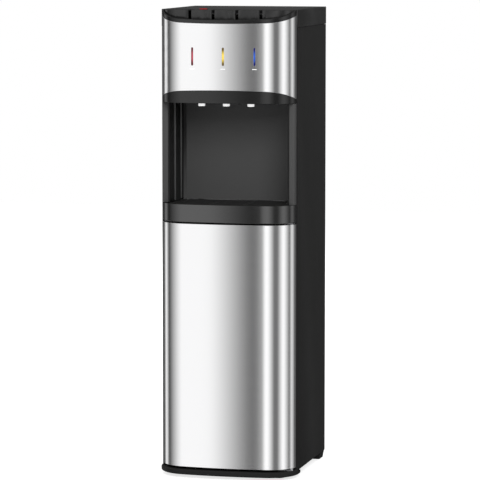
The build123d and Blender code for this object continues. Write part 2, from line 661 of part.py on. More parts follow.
# Child lock: a red slider that runs in a slot in the top of the hot key.
lock_stem = 5.0
lock_travel = lock_slot[1] - lock_stem - 2 * seat_gap
with BuildPart() as child_lock_slider:
    stem_y = lock_y - lock_travel / 2
    with Locations((-key_pitch, stem_y, overall_height + seat_gap)):
        Box(16, 9, 2.2, align=(Align.CENTER, Align.CENTER, Align.MIN))
    fillet(child_lock_slider.edges().group_by(Axis.Z)[-1], 0.6)
    with Locations((-key_pitch, stem_y, overall_height + seat_gap + 2.2)):
        with GridLocations(1, 2.2, 1, 3):  # finger grooves
            Box(11, 0.8, 0.9, mode=Mode.SUBTRACT)
    with Locations((-key_pitch, stem_y, overall_height + 0.4)):
        Box(lock_slot[0] - 2 * seat_gap, lock_stem, moulding + seat_gap + 0.6,
            align=(Align.CENTER, Align.CENTER, Align.MAX))
    with Locations((-key_pitch, stem_y, overall_height - moulding - seat_gap)):
        Box(9, 8, 1.2, align=(Align.CENTER, Align.CENTER, Align.MAX))
save(child_lock_slider, "child_lock_slider")

# The shaft that the keys turn on, and the carrier whose four ears hold it.
ear = 4.0
ear_xs = [key_pitch * step for step in (-1.5, -0.5, 0.5, 1.5)]
with BuildPart() as key_shaft:
    with Locations(Location((0, pivot_y, pivot_z), (0, 90, 0))):
        Cylinder(shaft_radius, key_opening - 1)
save(key_shaft, "key_shaft")
with BuildPart() as key_carrier:
    with BuildSketch(Plane.XY.offset(carrier_top - moulding)):
        add(bow(-3, side_front_y - seat_gap, **pocket))
        with Locations((0, side_front_y - seat_gap)):
            Rectangle(key_opening + 24, 3 * key_depth, align=(Align.CENTER, Align.MAX),
                      mode=Mode.INTERSECT)
        with Locations(*[(x, nozzle_y) for x in nozzle_xs]):
            Circle(plunger_radius + 1, mode=Mode.SUBTRACT)
    extrude(amount=moulding)
    with Locations(*[(x, pivot_y, carrier_top - moulding / 2) for x in ear_xs]):
        Box(ear, 2 * pivot_inset, pivot_z + pivot_inset - carrier_top + moulding / 2,
            align=(Align.CENTER, Align.CENTER, Align.MIN))
    with Locations(Location((0, pivot_y, pivot_z), (0, 90, 0))):
        Cylinder(shaft_radius + running_gap, body_width, mode=Mode.SUBTRACT)
save(key_carrier, "key_carrier")

# Taps: white nozzle, flange on the floor of the head, valve body, rear barb.  A plunger opens each.
valve_base = visor_bottom + moulding
valve_top = valve_base + valve_height
barb_z = valve_base + 30
barb_length = 14.0
plunger_depth = 14.0
plunger_reach = pivot_y - nozzle_y
for name, x in zip(key_names, nozzle_xs):
    with BuildPart() as tap:
        with Locations((x, nozzle_y, visor_bottom - nozzle_drop)):
            Cylinder(nozzle_radius, nozzle_drop + moulding + 1, align=(Align.CENTER, Align.CENTER, Align.MIN))
        fillet(tap.edges().group_by(Axis.Z)[0], 1)
        with Locations((x, nozzle_y, valve_base)):
            Cylinder(valve_radius + 3, 3, align=(Align.CENTER, Align.CENTER, Align.MIN))
            Cylinder(valve_radius, valve_height, align=(Align.CENTER, Align.CENTER, Align.MIN))
        fillet(tap.edges().group_by(Axis.Z)[-1], 1.5)
        with Locations(Location((x, nozzle_y, barb_z), (-90, 0, 0))):
            Cylinder(hose_bore - 0.1, valve_radius + barb_length,
                     align=(Align.CENTER, Align.CENTER, Align.MIN))
        with Locations((x, nozzle_y, visor_bottom - nozzle_drop)):
            Cylinder(nozzle_radius / 2, nozzle_drop + 20, align=(Align.CENTER, Align.CENTER, Align.MIN),
                     mode=Mode.SUBTRACT)
        with Locations((x, nozzle_y, valve_top)):
            Cylinder(plunger_radius + running_gap * 2, 2 * plunger_depth, mode=Mode.SUBTRACT)
    save(tap, f"tap_{name}")
    with BuildPart() as plunger:
        with Locations((x, nozzle_y, valve_top - plunger_depth + 5)):
            Cylinder(plunger_radius, pivot_z - boss_drop - seat_gap - valve_top + plunger_depth - 5,
                     align=(Align.CENTER, Align.CENTER, Align.MIN))
        fillet(plunger.edges().group_by(Axis.Z)[-1], plunger_radius * 0.96)
        with Locations((x, nozzle_y, valve_top + 34)):
            Cylinder(plunger_radius + 3, 2)
    save(plunger, f"plunger_{name}")

# ================================================================ drip tray
# The tray pulls forward: its bowed front is the black band between the bay and the door.
tray_half = bay_half_width - 4
tray_back_y = bay_back_y - 6
tray_rim = 0.8  # rim above the grille
grille_thickness = 3.0
grille_slot = 4.0
grille_pitch = 8.0
grille_rows = 15
grille_length = 68.0
grille_bar = 10.0
tray_corner = bay_corner - 4
rib = 3.0
ring_radius = 7.0


def tray_plan(inset, shoulders=False):
    """Plan of the tray: its bowed front, full width or only between the shoulders, and its rear part."""
    with BuildSketch(mode=Mode.PRIVATE) as plan:
        add(bow(inset, seam_y - seat_gap))
        if not shoulders:
            Rectangle(2 * (tray_half - inset), 2 * body_depth, mode=Mode.INTERSECT)
        with Locations((0, seam_y - 3 * moulding)):
            Rectangle(2 * (tray_half - inset), tray_back_y - inset - seam_y + 3 * moulding,
                      align=(Align.CENTER, Align.MIN))
        fillet(plan.vertices().group_by(Axis.Y)[-1], tray_corner - inset)
    return plan.sketch


with BuildPart() as drip_tray:
    with BuildSketch(Plane.XY.offset(tray_bottom)):
        add(tray_plan(0, shoulders=True))
    extrude(amount=tray_height)
    front_edges = drip_tray.edges().group_by(Axis.Z)[0].filter_by(lambda e: e.center().Y < seam_y - 1)
    fillet(front_edges, 2.0)
    with BuildSketch(Plane.XY.offset(tray_bottom + moulding)):
        add(tray_plan(moulding))
    extrude(amount=tray_height, mode=Mode.SUBTRACT)
    rib_top = tray_top - tray_rim - grille_thickness - seat_gap
    rib_height = rib_top - tray_bottom - moulding / 2
    rib_length = tray_back_y - tray_corner - seam_y
    with Locations(*[(side * (tray_half - 4), seam_y, tray_bottom + moulding / 2) for side in (-1, 1)]):
        Box(rib, rib_length, rib_height, align=(Align.CENTER, Align.MIN, Align.MIN))
    with Locations((0, front_y + 4, tray_bottom + moulding / 2)):
        Box(20 * rib, rib, rib_height, align=(Align.CENTER, Align.CENTER, Align.MIN))
save(drip_tray, "drip_tray")

with BuildPart() as drip_grille:
    with BuildSketch(Plane.XY.offset(tray_top - tray_rim - grille_thickness)):
        add(tray_plan(moulding + seat_gap))
        with Locations((0, (front_y + tray_back_y) / 2 + 3)):
            with GridLocations(grille_length + grille_bar, grille_pitch, 3, grille_rows):
                SlotOverall(grille_length, grille_slot, mode=Mode.SUBTRACT)
    extrude(amount=grille_thickness)
    with BuildSketch(Plane.XY.offset(tray_top - tray_rim - 0.2)):
        for x in nozzle_xs:  # a ring under each nozzle marks where the cup stands
            with Locations((x, nozzle_y)):
                Circle(ring_radius)
                Circle(ring_radius - 2, mode=Mode.SUBTRACT)
    extrude(amount=0.7)
save(drip_grille, "drip_grille")

# ================================================================ door
hinge_x = half_width - 10.7
hinge_y = front_y + 45.7
pin_length = 12.0
pin_boss = 4.0
liner_low, liner_high = door_bottom + 0.5, door_top - 0.5
end_plate = 3.0
rear_frame = 20.0  # width of the frame round the door's hollow back
strike_x, strike_width, strike_height = 51 - half_width, 28.0, 10.0
strike_z = liner_high - end_plate - rear_frame / 2
with BuildPart() as door_skin:
    with BuildSketch(Plane.XY.offset(door_bottom)):
        add(bow(0, seam_y))
        add(bow(skin, seam_y + 1), mode=Mode.SUBTRACT)
    extrude(amount=door_top - door_bottom)
save(door_skin, "door_skin")

with BuildPart() as door_liner:
    with BuildSketch(Plane.XY.offset(liner_low)):
        add(bow(skin + skin_gap, seam_y))
    extrude(amount=liner_high - liner_low)
    with BuildSketch(Plane.XY.offset(liner_low + end_plate)):
        add(bow(shell_wall, seam_y - moulding))
    extrude(amount=liner_high - liner_low - 2 * end_plate, mode=Mode.SUBTRACT)
    with Locations((0, seam_y, (liner_low + liner_high) / 2)):  # window in the rear frame
        Box(2 * (bay_half_width - 6), 4 * moulding, liner_high - liner_low - 2 * (end_plate + rear_frame),
            mode=Mode.SUBTRACT)
    for level in (0.25, 0.5, 0.75):  # bowed stiffening ribs
        with BuildSketch(Plane.XY.offset(liner_low + level * (liner_high - liner_low))):
            add(bow(shell_wall - 0.5, seam_y - moulding / 2))
            add(bow(shell_wall + 10, seam_y + 1), mode=Mode.SUBTRACT)
        extrude(amount=moulding)
    for z in (liner_low, liner_high - pin_length):
        with Locations((hinge_x, hinge_y, z)):
            Cylinder(pin_boss, pin_length, align=(Align.CENTER, Align.CENTER, Align.MIN))
            Cylinder(shaft_radius + running_gap, pin_length, align=(Align.CENTER, Align.CENTER, Align.MIN),
                     mode=Mode.SUBTRACT)
    with Locations((strike_x, seam_y, strike_z)):
        Box(strike_width + 0.4, 2.4, strike_height + 0.4, mode=Mode.SUBTRACT)
save(door_liner, "door_liner")

with BuildPart() as door_strike:
    with Locations((strike_x, seam_y, strike_z)):
        Box(strike_width, 1.0, strike_height, align=(Align.CENTER, Align.MAX, Align.CENTER))
save(door_strike, "door_strike")

with BuildPart() as door_catch:  # magnetic catch on the front flange of the deck
    with Locations((strike_x, side_front_y + sheet, strike_z)):
        Box(strike_width + 4, seam_gap + sheet - 0.4, strike_height + 4,
            align=(Align.CENTER, Align.MAX, Align.CENTER))
    with Locations((strike_x, seam_y + 0.4, strike_z)):
        Box(strike_width - 8, 1.0, 2.0, mode=Mode.SUBTRACT)
save(door_catch, "door_catch")

# Hinges: a plate with an upright pin under the door, and a cranked plate with a hanging pin over it.
plate_reach = 30.0
with BuildPart() as lower_hinge:
    with BuildSketch(Plane.XY.offset(plinth_top)):
        with Locations((hinge_x, hinge_y)):
            Circle(5)
            Rectangle(plate_reach, 10, align=(Align.MAX, Align.CENTER))
    extrude(amount=2)
    with Locations((hinge_x, hinge_y, plinth_top)):
        Cylinder(pin_boss, liner_low - seat_gap - plinth_top, align=(Align.CENTER, Align.CENTER, Align.MIN))
        Cylinder(shaft_radius, liner_low + pin_length - 1 - plinth_top,
                 align=(Align.CENTER, Align.CENTER, Align.MIN))
save(lower_hinge, "lower_hinge")
crank = 1.5
with BuildPart() as upper_hinge:
    with BuildSketch(Plane.XY.offset(door_top + 0.5)):
        with Locations((hinge_x, hinge_y)):
            Circle(4.5)
            Rectangle(plate_reach, 9, align=(Align.MAX, Align.CENTER))
        with Locations((hinge_x - 8, side_front_y + sheet)):
            Rectangle(plate_reach - 8, side_front_y + sheet - hinge_y, align=(Align.MAX, Align.MAX))
    extrude(amount=crank)
    with Locations((hinge_x - 8, side_front_y + sheet, door_top + 0.5 + crank)):
        Box(plate_reach - 8, crank, 16, align=(Align.MAX, Align.MAX, Align.MAX))
    with Locations((hinge_x, hinge_y, door_top + 0.5 + crank)):
        Cylinder(shaft_radius, pin_length + crank, align=(Align.CENTER, Align.CENTER, Align.MAX))
save(upper_hinge, "upper_hinge")

# ================================================================ cooling and water
# Shelf that carries the two tanks above the compressor: a tray of sheet steel turned down at its sides.
shelf_width = 2 * side_inner_x - 1
shelf_flange = 14.0
shelf_top = shelf_height + deck_sheet
hole_margin = 1.5  # between a hose or tube and the sheet it passes through
tank_foot = 10.0  # shelf to the bottom of the hot tank
tank_low = shelf_top + tank_foot
cold_low = shelf_top + foam_wall
riser_x, riser_y = cold_x + 0.22 * cold_tank_radius, cold_y + 0.27 * cold_tank_radius  # cold tank's inlet
feed_x = cold_x - 0.54 * cold_tank_radius  # where water leaves it for the hot tank
drier_x, drier_y = liquid_x, works_rear_y - 10
suction_reach = 22.0  # compressor's shell to the suction line beside it
suction_x, suction_y = compressor_x + compressor_radius + suction_reach, cold_y + 0.8 * cold_tank_radius
with BuildPart() as tank_shelf:
    with BuildSketch(Plane.XY.offset(shelf_height - shelf_flange)):
        with Locations((0, works_front_y)):
            Rectangle(shelf_width, works_rear_y - works_front_y, align=(Align.CENTER, Align.MIN))
    extrude(amount=shelf_flange + deck_sheet)
    with BuildSketch(Plane.XY.offset(shelf_height - shelf_flange)):
        with Locations((0, works_front_y - 1)):
            Rectangle(shelf_width - 2 * deck_sheet, works_rear_y - works_front_y + 2,
                      align=(Align.CENTER, Align.MIN))
    extrude(amount=shelf_flange, mode=Mode.SUBTRACT)
    with BuildSketch(Plane.XY.offset(shelf_height - 1)):
        with Locations((riser_x, riser_y), (feed_x, cold_y), (hot_x, hot_y)):
            Circle(hose_radius + hole_margin)
        with Locations((drier_x, drier_y), (suction_x, suction_y)):
            Circle(tube_radius + hole_margin)
    extrude(amount=deck_sheet + 2, mode=Mode.SUBTRACT)
save(tank_shelf, "tank_shelf")

# Hot tank: a domed steel can with a stub to the hot tap, one for its feed, and a drain stub at the back.
stub_radius = hose_bore - 0.1
hose_lap = 10.0  # how far a hose slides over a stub
dome = 10.0
heel = 6.0
cap_radius, cap_height, cap_pitch = 8.0, 6.0, 30.0
hot_outlet_y = hot_y - sqrt(hot_outer**2 - (nozzle_pitch + hot_x) ** 2)
drain_stub_y = hot_y + hot_outer
with BuildPart() as hot_tank:
    with Locations((hot_x, hot_y, tank_low)):
        Cylinder(hot_tank_radius, hot_tank_height, align=(Align.CENTER, Align.CENTER, Align.MIN))
    fillet(hot_tank.edges().group_by(Axis.Z)[-1], dome)
    fillet(hot_tank.edges().group_by(Axis.Z)[0], heel)
    with Locations(Location((-nozzle_pitch, hot_y, barb_z), (90, 0, 0))):
        Cylinder(stub_radius, hot_y - hot_outlet_y + hose_lap, align=(Align.CENTER, Align.CENTER, Align.MIN))
    with Locations((hot_x, hot_y, tank_low + 1)):
        Cylinder(stub_radius, hose_lap + 1, align=(Align.CENTER, Align.CENTER, Align.MAX))
    with Locations(Location((drain_x, hot_y, drain_z), (-90, 0, 0))):
        Cylinder(drain_radius, hot_outer, align=(Align.CENTER, Align.CENTER, Align.MIN))
    with Locations((hot_x, hot_y, tank_low + hot_tank_height - 1)):  # thermostat and heater terminals
        with GridLocations(cap_pitch, 1, 2, 1):
            Cylinder(cap_radius, cap_height, align=(Align.CENTER, Align.CENTER, Align.MIN))
    with Locations((hot_x, hot_y, tank_low + heel)):
        Cylinder(hot_tank_radius - tank_wall, hot_tank_height - heel - dome,
                 align=(Align.CENTER, Align.CENTER, Align.MIN), mode=Mode.SUBTRACT)
save(hot_tank, "hot_tank")
with BuildPart() as hot_tank_jacket:
    with BuildSketch(Plane.XY.offset(shelf_top)):
        with Locations((hot_x, hot_y)):
            Circle(hot_outer)
            Circle(hot_tank_radius + seat_gap, mode=Mode.SUBTRACT)
    extrude(amount=tank_foot + hot_tank_height - dome)
    with BuildSketch(Plane.XY.offset(shelf_top)):
        with Locations((hot_x, hot_y)):
            Circle(hot_tank_radius + 1)
            Circle(hose_radius + hole_margin, mode=Mode.SUBTRACT)
    extrude(amount=tank_foot - seat_gap)
    with Locations(Location((-nozzle_pitch, hot_y, barb_z), (90, 0, 0)),
                   Location((drain_x, hot_y, drain_z), (-90, 0, 0))):
        Cylinder(drain_radius + 1, 2 * hot_outer, align=(Align.CENTER, Align.CENTER, Align.MIN),
                 mode=Mode.SUBTRACT)
save(hot_tank_jacket, "hot_tank_jacket")

# Cold tank in a foam block made in two halves.
cold_outlet_y = cold_y - foam_half
foam_split = 0.4
foam_corner = 12.0
with BuildPart() as cold_tank:
    with Locations((cold_x, cold_y, cold_low)):
        Cylinder(cold_tank_radius, cold_tank_height, align=(Align.CENTER, Align.CENTER, Align.MIN))
    fillet(cold_tank.edges().group_by(Axis.Z)[-1], dome)
    fillet(cold_tank.edges().group_by(Axis.Z)[0], heel)
    with Locations(*[Location((x, cold_y - foam_wall, barb_z), (90, 0, 0)) for x in nozzle_xs[1:]]):
        Cylinder(stub_radius, cold_tank_radius + hose_lap, align=(Align.CENTER, Align.CENTER, Align.MIN))
    with Locations((riser_x, riser_y, cold_low + 1), (feed_x, cold_y, cold_low + 1)):
        Cylinder(stub_radius, hose_lap + 1, align=(Align.CENTER, Align.CENTER, Align.MAX))
    with Locations((cold_x, cold_y, cold_low + heel)):
        Cylinder(cold_tank_radius - tank_wall, cold_tank_height - heel - dome,
                 align=(Align.CENTER, Align.CENTER, Align.MIN), mode=Mode.SUBTRACT)
save(cold_tank, "cold_tank")
with BuildPart() as cold_tank_foam:
    with BuildSketch(Plane.XY.offset(shelf_top)):
        with Locations((cold_x, cold_y)):
            RectangleRounded(2 * foam_half, 2 * foam_half, foam_corner)
    extrude(amount=cold_tank_height + 2 * foam_wall)
    with Locations((cold_x, cold_y, cold_low - seat_gap)):
        Cylinder(cold_tank_radius + seat_gap, cold_tank_height + 2 * seat_gap,
                 align=(Align.CENTER, Align.CENTER, Align.MIN), mode=Mode.SUBTRACT)
    with Locations(*[Location((x, cold_y - foam_wall, barb_z), (90, 0, 0)) for x in nozzle_xs[1:]]):
        Cylinder(hose_radius + 0.5, foam_half, align=(Align.CENTER, Align.CENTER, Align.MIN),
                 mode=Mode.SUBTRACT)
    with Locations((riser_x, riser_y, cold_low), (feed_x, cold_y, cold_low)):
        Cylinder(hose_radius + 0.5, 3 * foam_wall, mode=Mode.SUBTRACT)
    with Locations((suction_x, suction_y, shelf_top)):
        Cylinder(tube_radius + 0.5, foam_wall, mode=Mode.SUBTRACT)
    with Locations((cold_x, cold_y, cold_low + cold_tank_height / 2)):
        Box(3 * foam_half, 3 * foam_half, foam_split, mode=Mode.SUBTRACT)
save(cold_tank_foam, "cold_tank_foam")

# Compressor: domed shell with a weld band and tube stubs, on a base plate with four rubber grommets.
# Inside the shell its motor stands on the floor.
casing_wall = 5.0
dome_share = 0.6  # radius of the domed top against the radius of the shell
stator_radius, stator_height = 38.0, 75.0
casing_height = compressor_height - dome_share * compressor_radius - dome + casing_wall
base_length, base_width, base_sheet = 2 * compressor_radius + 20, 2 * compressor_radius - 8, 3.0
grommet_radius, grommet_neck = 9.0, 5.0
grommet_pitch_x, grommet_pitch_y = base_length - 22, base_width - 18
base_low = deck_top + grommet_height
shell_low = base_low + base_sheet
tube_stub_radius = tube_radius + 0.8
stub_reach = 6.0
discharge_stub = (compressor_x - 25, compressor_y + compressor_radius + stub_reach / 2, shell_low + 58)
suction_stub = (compressor_x + compressor_radius, suction_y, shell_low + 70)
with BuildPart() as compressor:
    with Locations((compressor_x, compressor_y, shell_low - 0.5)):
        Cylinder(compressor_radius, compressor_height, align=(Align.CENTER, Align.CENTER, Align.MIN))
    fillet(compressor.edges().group_by(Axis.Z)[-1], dome_share * compressor_radius)
    fillet(compressor.edges().group_by(Axis.Z)[0], dome)
    with Locations((compressor_x, compressor_y, base_low)):
        Box(base_length, base_width, base_sheet, align=(Align.CENTER, Align.CENTER, Align.MIN))
        with GridLocations(grommet_pitch_x, grommet_pitch_y, 2, 2):
            Hole(grommet_neck + 0.2, depth=4 * base_sheet)
    with Locations((compressor_x + compressor_radius - 2, compressor_y, shell_low + 46)):  # terminal cover
        Box(22, 40, 46, align=(Align.MIN, Align.CENTER, Align.CENTER))
    with Locations((compressor_x, compressor_y, shell_low + compressor_height * 0.62)):
        Cylinder(compressor_radius + 1.2, 3)
    with Locations(Location(discharge_stub, (90, 0, 0))):
        Cylinder(tube_stub_radius, compressor_radius, align=(Align.CENTER, Align.CENTER, Align.MIN))
    with Locations(Location(suction_stub, (0, -90, 0))):
        Cylinder(tube_stub_radius, compressor_radius, align=(Align.CENTER, Align.CENTER, Align.MIN))
    with Locations((compressor_x, compressor_y, shell_low + dome)):
        Cylinder(compressor_radius - casing_wall, casing_height,
                 align=(Align.CENTER, Align.CENTER, Align.MIN), mode=Mode.SUBTRACT)
        Cylinder(stator_radius, stator_height, align=(Align.CENTER, Align.CENTER, Align.MIN))
save(compressor, "compressor")
with BuildPart() as compressor_grommets:
    with Locations((compressor_x, compressor_y, deck_top)):
        with GridLocations(grommet_pitch_x, grommet_pitch_y, 2, 2):
            Cylinder(grommet_radius, grommet_height, align=(Align.CENTER, Align.CENTER, Align.MIN))
            Cylinder(grommet_neck, grommet_height + base_sheet + 1,
                     align=(Align.CENTER, Align.CENTER, Align.MIN))
save(compressor_grommets, "compressor_grommets")

# Condenser: one serpentine tube behind the rear panel, between two layers of upright wires.
wire_gap = 0.1
wire_overrun = 10.0  # how far the wires reach past the first and last pass of the tube
wire_span = 2 * coil_half_length - 20
layer_step = tube_radius + wire_radius + wire_gap
coil_y = rear_y + rear_reach - wire_radius - layer_step
with BuildPart() as condenser_coil:
    with BuildLine() as serpentine:
        for row in range(coil_passes):
            z = coil_top - row * coil_pitch
            way = 1 if row % 2 == 0 else -1
            Line((-way * coil_half_length, coil_y, z), (way * coil_half_length, coil_y, z))
            if row < coil_passes - 1:
                ThreePointArc(
                    (way * coil_half_length, coil_y, z),
                    (way * (coil_half_length + coil_pitch / 2), coil_y, z - coil_pitch / 2),
                    (way * coil_half_length, coil_y, z - coil_pitch),
                )
    with BuildSketch(Plane(origin=(-coil_half_length, coil_y, coil_top), z_dir=(1, 0, 0))):
        Circle(tube_radius)
    sweep(path=serpentine.wires()[0])
save(condenser_coil, "condenser_coil")
pad_width, pad_length = 8.0, 22.0
with BuildPart() as condenser_wires:
    wire_length = coil_top - coil_bottom + 2 * wire_overrun
    for layer in (-1, 1):
        with Locations((0, coil_y + layer * layer_step, (coil_top + coil_bottom) / 2)):
            with GridLocations(wire_span / (wire_count - 1), 1, wire_count, 1):
                Cylinder(wire_radius, wire_length)
    for z in (coil_bottom + pad_length, coil_top - pad_length):  # pads that stand it off the rear panel
        for side in (-1, 1):
            with Locations((side * wire_span / 2, rear_panel_y, z)):
                Box(pad_width, coil_y - layer_step - rear_panel_y, pad_length,
                    align=(Align.CENTER, Align.MIN, Align.CENTER))
save(condenser_wires, "condenser_wires")


def bent_tube(points, bend, radius, bore=0.0):
    """A round tube along straight runs joined by tangent bends."""
    with BuildPart(mode=Mode.PRIVATE) as tube:
        with BuildLine() as route:
            if len(points) > 2:
                FilletPolyline(*points, radius=bend)
            else:
                Line(*points)
        path = route.wires()[0]
        with BuildSketch(Plane(origin=path @ 0, z_dir=path % 0)):
            Circle(radius)
            if bore:
                Circle(bore, mode=Mode.SUBTRACT)
        sweep(path=path)
    return tube.part


# Refrigerant tubes: discharge to the condenser, liquid line to the drier, capillary and suction line.
works_y = (compressor_y + compressor_radius + stub_reach + rear_panel_y - sheet) / 2
liquid_y = works_rear_y - tube_radius - 1
drier_radius, drier_length, drier_drop = 8.0, 60.0, 45.0
drier_high = shelf_height - drier_drop
drier_low = drier_high - drier_length
capillary_z = shelf_height + 60
discharge_route = [
    (discharge_stub[0], discharge_stub[1] + seat_gap, discharge_stub[2]),
    (discharge_stub[0], works_y, discharge_stub[2]),
    (discharge_x, works_y, discharge_stub[2]),
    (discharge_x, works_y, tube_exit_z),
    (discharge_x, coil_y, tube_exit_z),
    (discharge_x, coil_y, coil_top),
    (-coil_half_length - seat_gap, coil_y, coil_top),
]
liquid_route = [
    (coil_half_length + seat_gap, coil_y, coil_bottom),
    (liquid_x, coil_y, coil_bottom),
    (liquid_x, liquid_y, coil_bottom),
    (liquid_x, liquid_y, tube_exit_z - 12),
    (drier_x, drier_y, tube_exit_z + 12),
    (drier_x, drier_y, drier_low + 1),
]
capillary_route = [
    (drier_x, drier_y, drier_high - 1),
    (drier_x, drier_y, capillary_z),
    (cold_x + foam_half + seat_gap, drier_y, capillary_z),
]
suction_route = [
    (suction_x, suction_y, shelf_top + foam_wall / 2 - 1),
    (suction_x, suction_y, suction_stub[2]),
    (suction_stub[0] + seat_gap, suction_y, suction_stub[2]),
]
discharge_bend, liquid_bend, capillary_bend, suction_bend = 7.0, 5.5, 5.0, 14.0
discharge = bent_tube(discharge_route, discharge_bend, tube_radius)
liquid = bent_tube(liquid_route, liquid_bend, tube_radius)
capillary = bent_tube(capillary_route, capillary_bend, tube_radius / 2)
suction = bent_tube(suction_route, suction_bend, tube_radius)
with BuildPart() as refrigerant_lines:
    for line in (discharge, liquid, suction, capillary):
        add(line)
    with Locations((drier_x, drier_y, drier_low)):
        Cylinder(drier_radius, drier_high - drier_low, align=(Align.CENTER, Align.CENTER, Align.MIN))
    rims = refrigerant_lines.edges().filter_by(GeomType.CIRCLE)
    fillet(rims.filter_by(lambda e: abs(e.radius - drier_radius) < 0.1), 3)
save(refrigerant_lines, "refrigerant_lines")

# Pump on the deck: a head with two barbs, a motor lying towards the front, and a rubber cradle.
pump_x = probe_x - 16
head_width, head_depth, head_height = 40.0, 30.0, 44.0
motor_radius, motor_length = 19.0, 66.0
cradle_width, cradle_length, cradle_height = 34.0, 90.0, 12.0
pump_z = deck_top + 7 + head_height / 2
pump_inlet_x = pump_x - head_width / 2
pump_outlet_z = pump_z + head_height / 2
with BuildPart() as water_pump:
    with Locations((pump_x, hose_y, pump_z)):
        Box(head_width, head_depth, head_height)
    fillet(water_pump.edges().filter_by(Axis.Y), 5)
    with Locations(Location((pump_x, hose_y - head_depth / 2, pump_z), (90, 0, 0))):
        Cylinder(motor_radius, motor_length, align=(Align.CENTER, Align.CENTER, Align.MIN))
    fillet(water_pump.edges().group_by(Axis.Y)[0], 3)
    with Locations((pump_x, hose_y - 36, deck_top)):
        Box(cradle_width, cradle_length, cradle_height, align=(Align.CENTER, Align.CENTER, Align.MIN))
    with Locations(Location((pump_inlet_x + 1, hose_y, pump_z), (0, -90, 0))):
        Cylinder(stub_radius, hose_lap + 1, align=(Align.CENTER, Align.CENTER, Align.MIN))
    with Locations((pump_x, hose_y, pump_outlet_z - 1)):
        Cylinder(stub_radius, hose_lap + 1, align=(Align.CENTER, Align.CENTER, Align.MIN))
save(water_pump, "water_pump")

# Hoses above the deck, the nipple through it, and the drain pipe of the hot tank.
nipple_flange = 2.0
nipple_wall = 1.0
nipple_reach = 6.0
feed_z = shelf_height - 23.0
inlet_bend, riser_bend, feed_bend = 22.0, 28.0, 24.0
inlet_route = [
    (inlet_x, hose_y, deck_top + nipple_flange + seat_gap),
    (inlet_x, hose_y, pump_z),
    (pump_inlet_x - seat_gap, hose_y, pump_z),
]
riser_route = [
    (pump_x, hose_y, pump_outlet_z + seat_gap),
    (pump_x, hose_y, feed_z - 32),
    (riser_x, riser_y, feed_z - 17),
    (riser_x, riser_y, cold_low - seat_gap - 4),
]
feed_route = [
    (feed_x, cold_y, cold_low - seat_gap - 4),
    (feed_x, cold_y, feed_z),
    (hot_x, hot_y, feed_z),
    (hot_x, hot_y, tank_low - seat_gap),
]
tap_hose_y = nozzle_y + valve_radius + seat_gap
tap_routes = [
    [(x, tap_hose_y, barb_z), (x, back, barb_z)]
    for x, back in zip(nozzle_xs, (hot_outlet_y, cold_outlet_y + 3, cold_outlet_y + 3))
]
drain_route = [(drain_x, drain_stub_y + seat_gap, drain_z), (drain_x, rear_panel_y + drain_reach, drain_z)]
inlet_hose = bent_tube(inlet_route, inlet_bend, hose_radius, hose_bore)
riser_hose = bent_tube(riser_route, riser_bend, hose_radius, hose_bore)
feed_hose = bent_tube(feed_route, feed_bend, hose_radius, hose_bore)
tap_hoses = [bent_tube(route, 0, hose_radius, hose_bore) for route in tap_routes]
drain_pipe = bent_tube(drain_route, 0, drain_radius, hose_bore)
with BuildPart() as water_lines:
    for line in (inlet_hose, riser_hose, feed_hose, *tap_hoses, drain_pipe):
        add(line)
    with Locations(Location((drain_x, rear_panel_y, drain_z), (-90, 0, 0))):
        Cylinder(drain_radius + 4, drain_flange, align=(Align.CENTER, Align.CENTER, Align.MIN))
        Cylinder(hose_bore, 4 * drain_flange, mode=Mode.SUBTRACT)
    with BuildSketch(Plane.XY.offset(deck_top)):
        with Locations((inlet_x, hose_y)):
            Circle(hose_radius + 3)
            Circle(stub_radius - nipple_wall, mode=Mode.SUBTRACT)
    extrude(amount=nipple_flange)
    with BuildSketch(Plane.XY.offset(deck_top - deck_sheet - hose_lap)):
        with Locations((inlet_x, hose_y)):
            Circle(stub_radius)
            Circle(stub_radius - nipple_wall, mode=Mode.SUBTRACT)
    extrude(amount=deck_sheet + hose_lap + nipple_reach)
save(water_lines, "water_lines")

with BuildPart() as drain_cap:
    cap_seat_y = rear_panel_y + drain_flange + seat_gap
    with Locations(Location((drain_x, cap_seat_y, drain_z), (-90, 0, 0))):
        Cylinder(drain_radius + 2.2, cap_length, align=(Align.CENTER, Align.CENTER, Align.MIN))
        Cylinder(drain_radius + running_gap, drain_reach - drain_flange + 0.1,
                 align=(Align.CENTER, Align.CENTER, Align.MIN), mode=Mode.SUBTRACT)
    fillet(drain_cap.edges().group_by(Axis.Y)[-1], 0.8)
save(drain_cap, "drain_cap")

# Probe that stands in the bottle: steel wand, collar for the bottle's neck, and the stub of its hose.
with BuildPart() as bottle_probe:
    with Locations((probe_x, probe_y, collar_base)):
        Cylinder(collar_radius, collar_height, align=(Align.CENTER, Align.CENTER, Align.MIN))
    fillet(bottle_probe.edges().group_by(Axis.Z)[-1], 3)
    with Locations((probe_x, probe_y, probe_foot_z)):
        Cylinder(wand_radius, collar_base + collar_height / 4 - probe_foot_z,
                 align=(Align.CENTER, Align.CENTER, Align.MIN))
    fillet(bottle_probe.edges().group_by(Axis.Z)[0], 1.5)
    with Locations((probe_x, hose_y, collar_base + collar_height - 1)):
        Cylinder(stub_radius, hose_lap + 1, align=(Align.CENTER, Align.CENTER, Align.MIN))
save(bottle_probe, "bottle_probe")

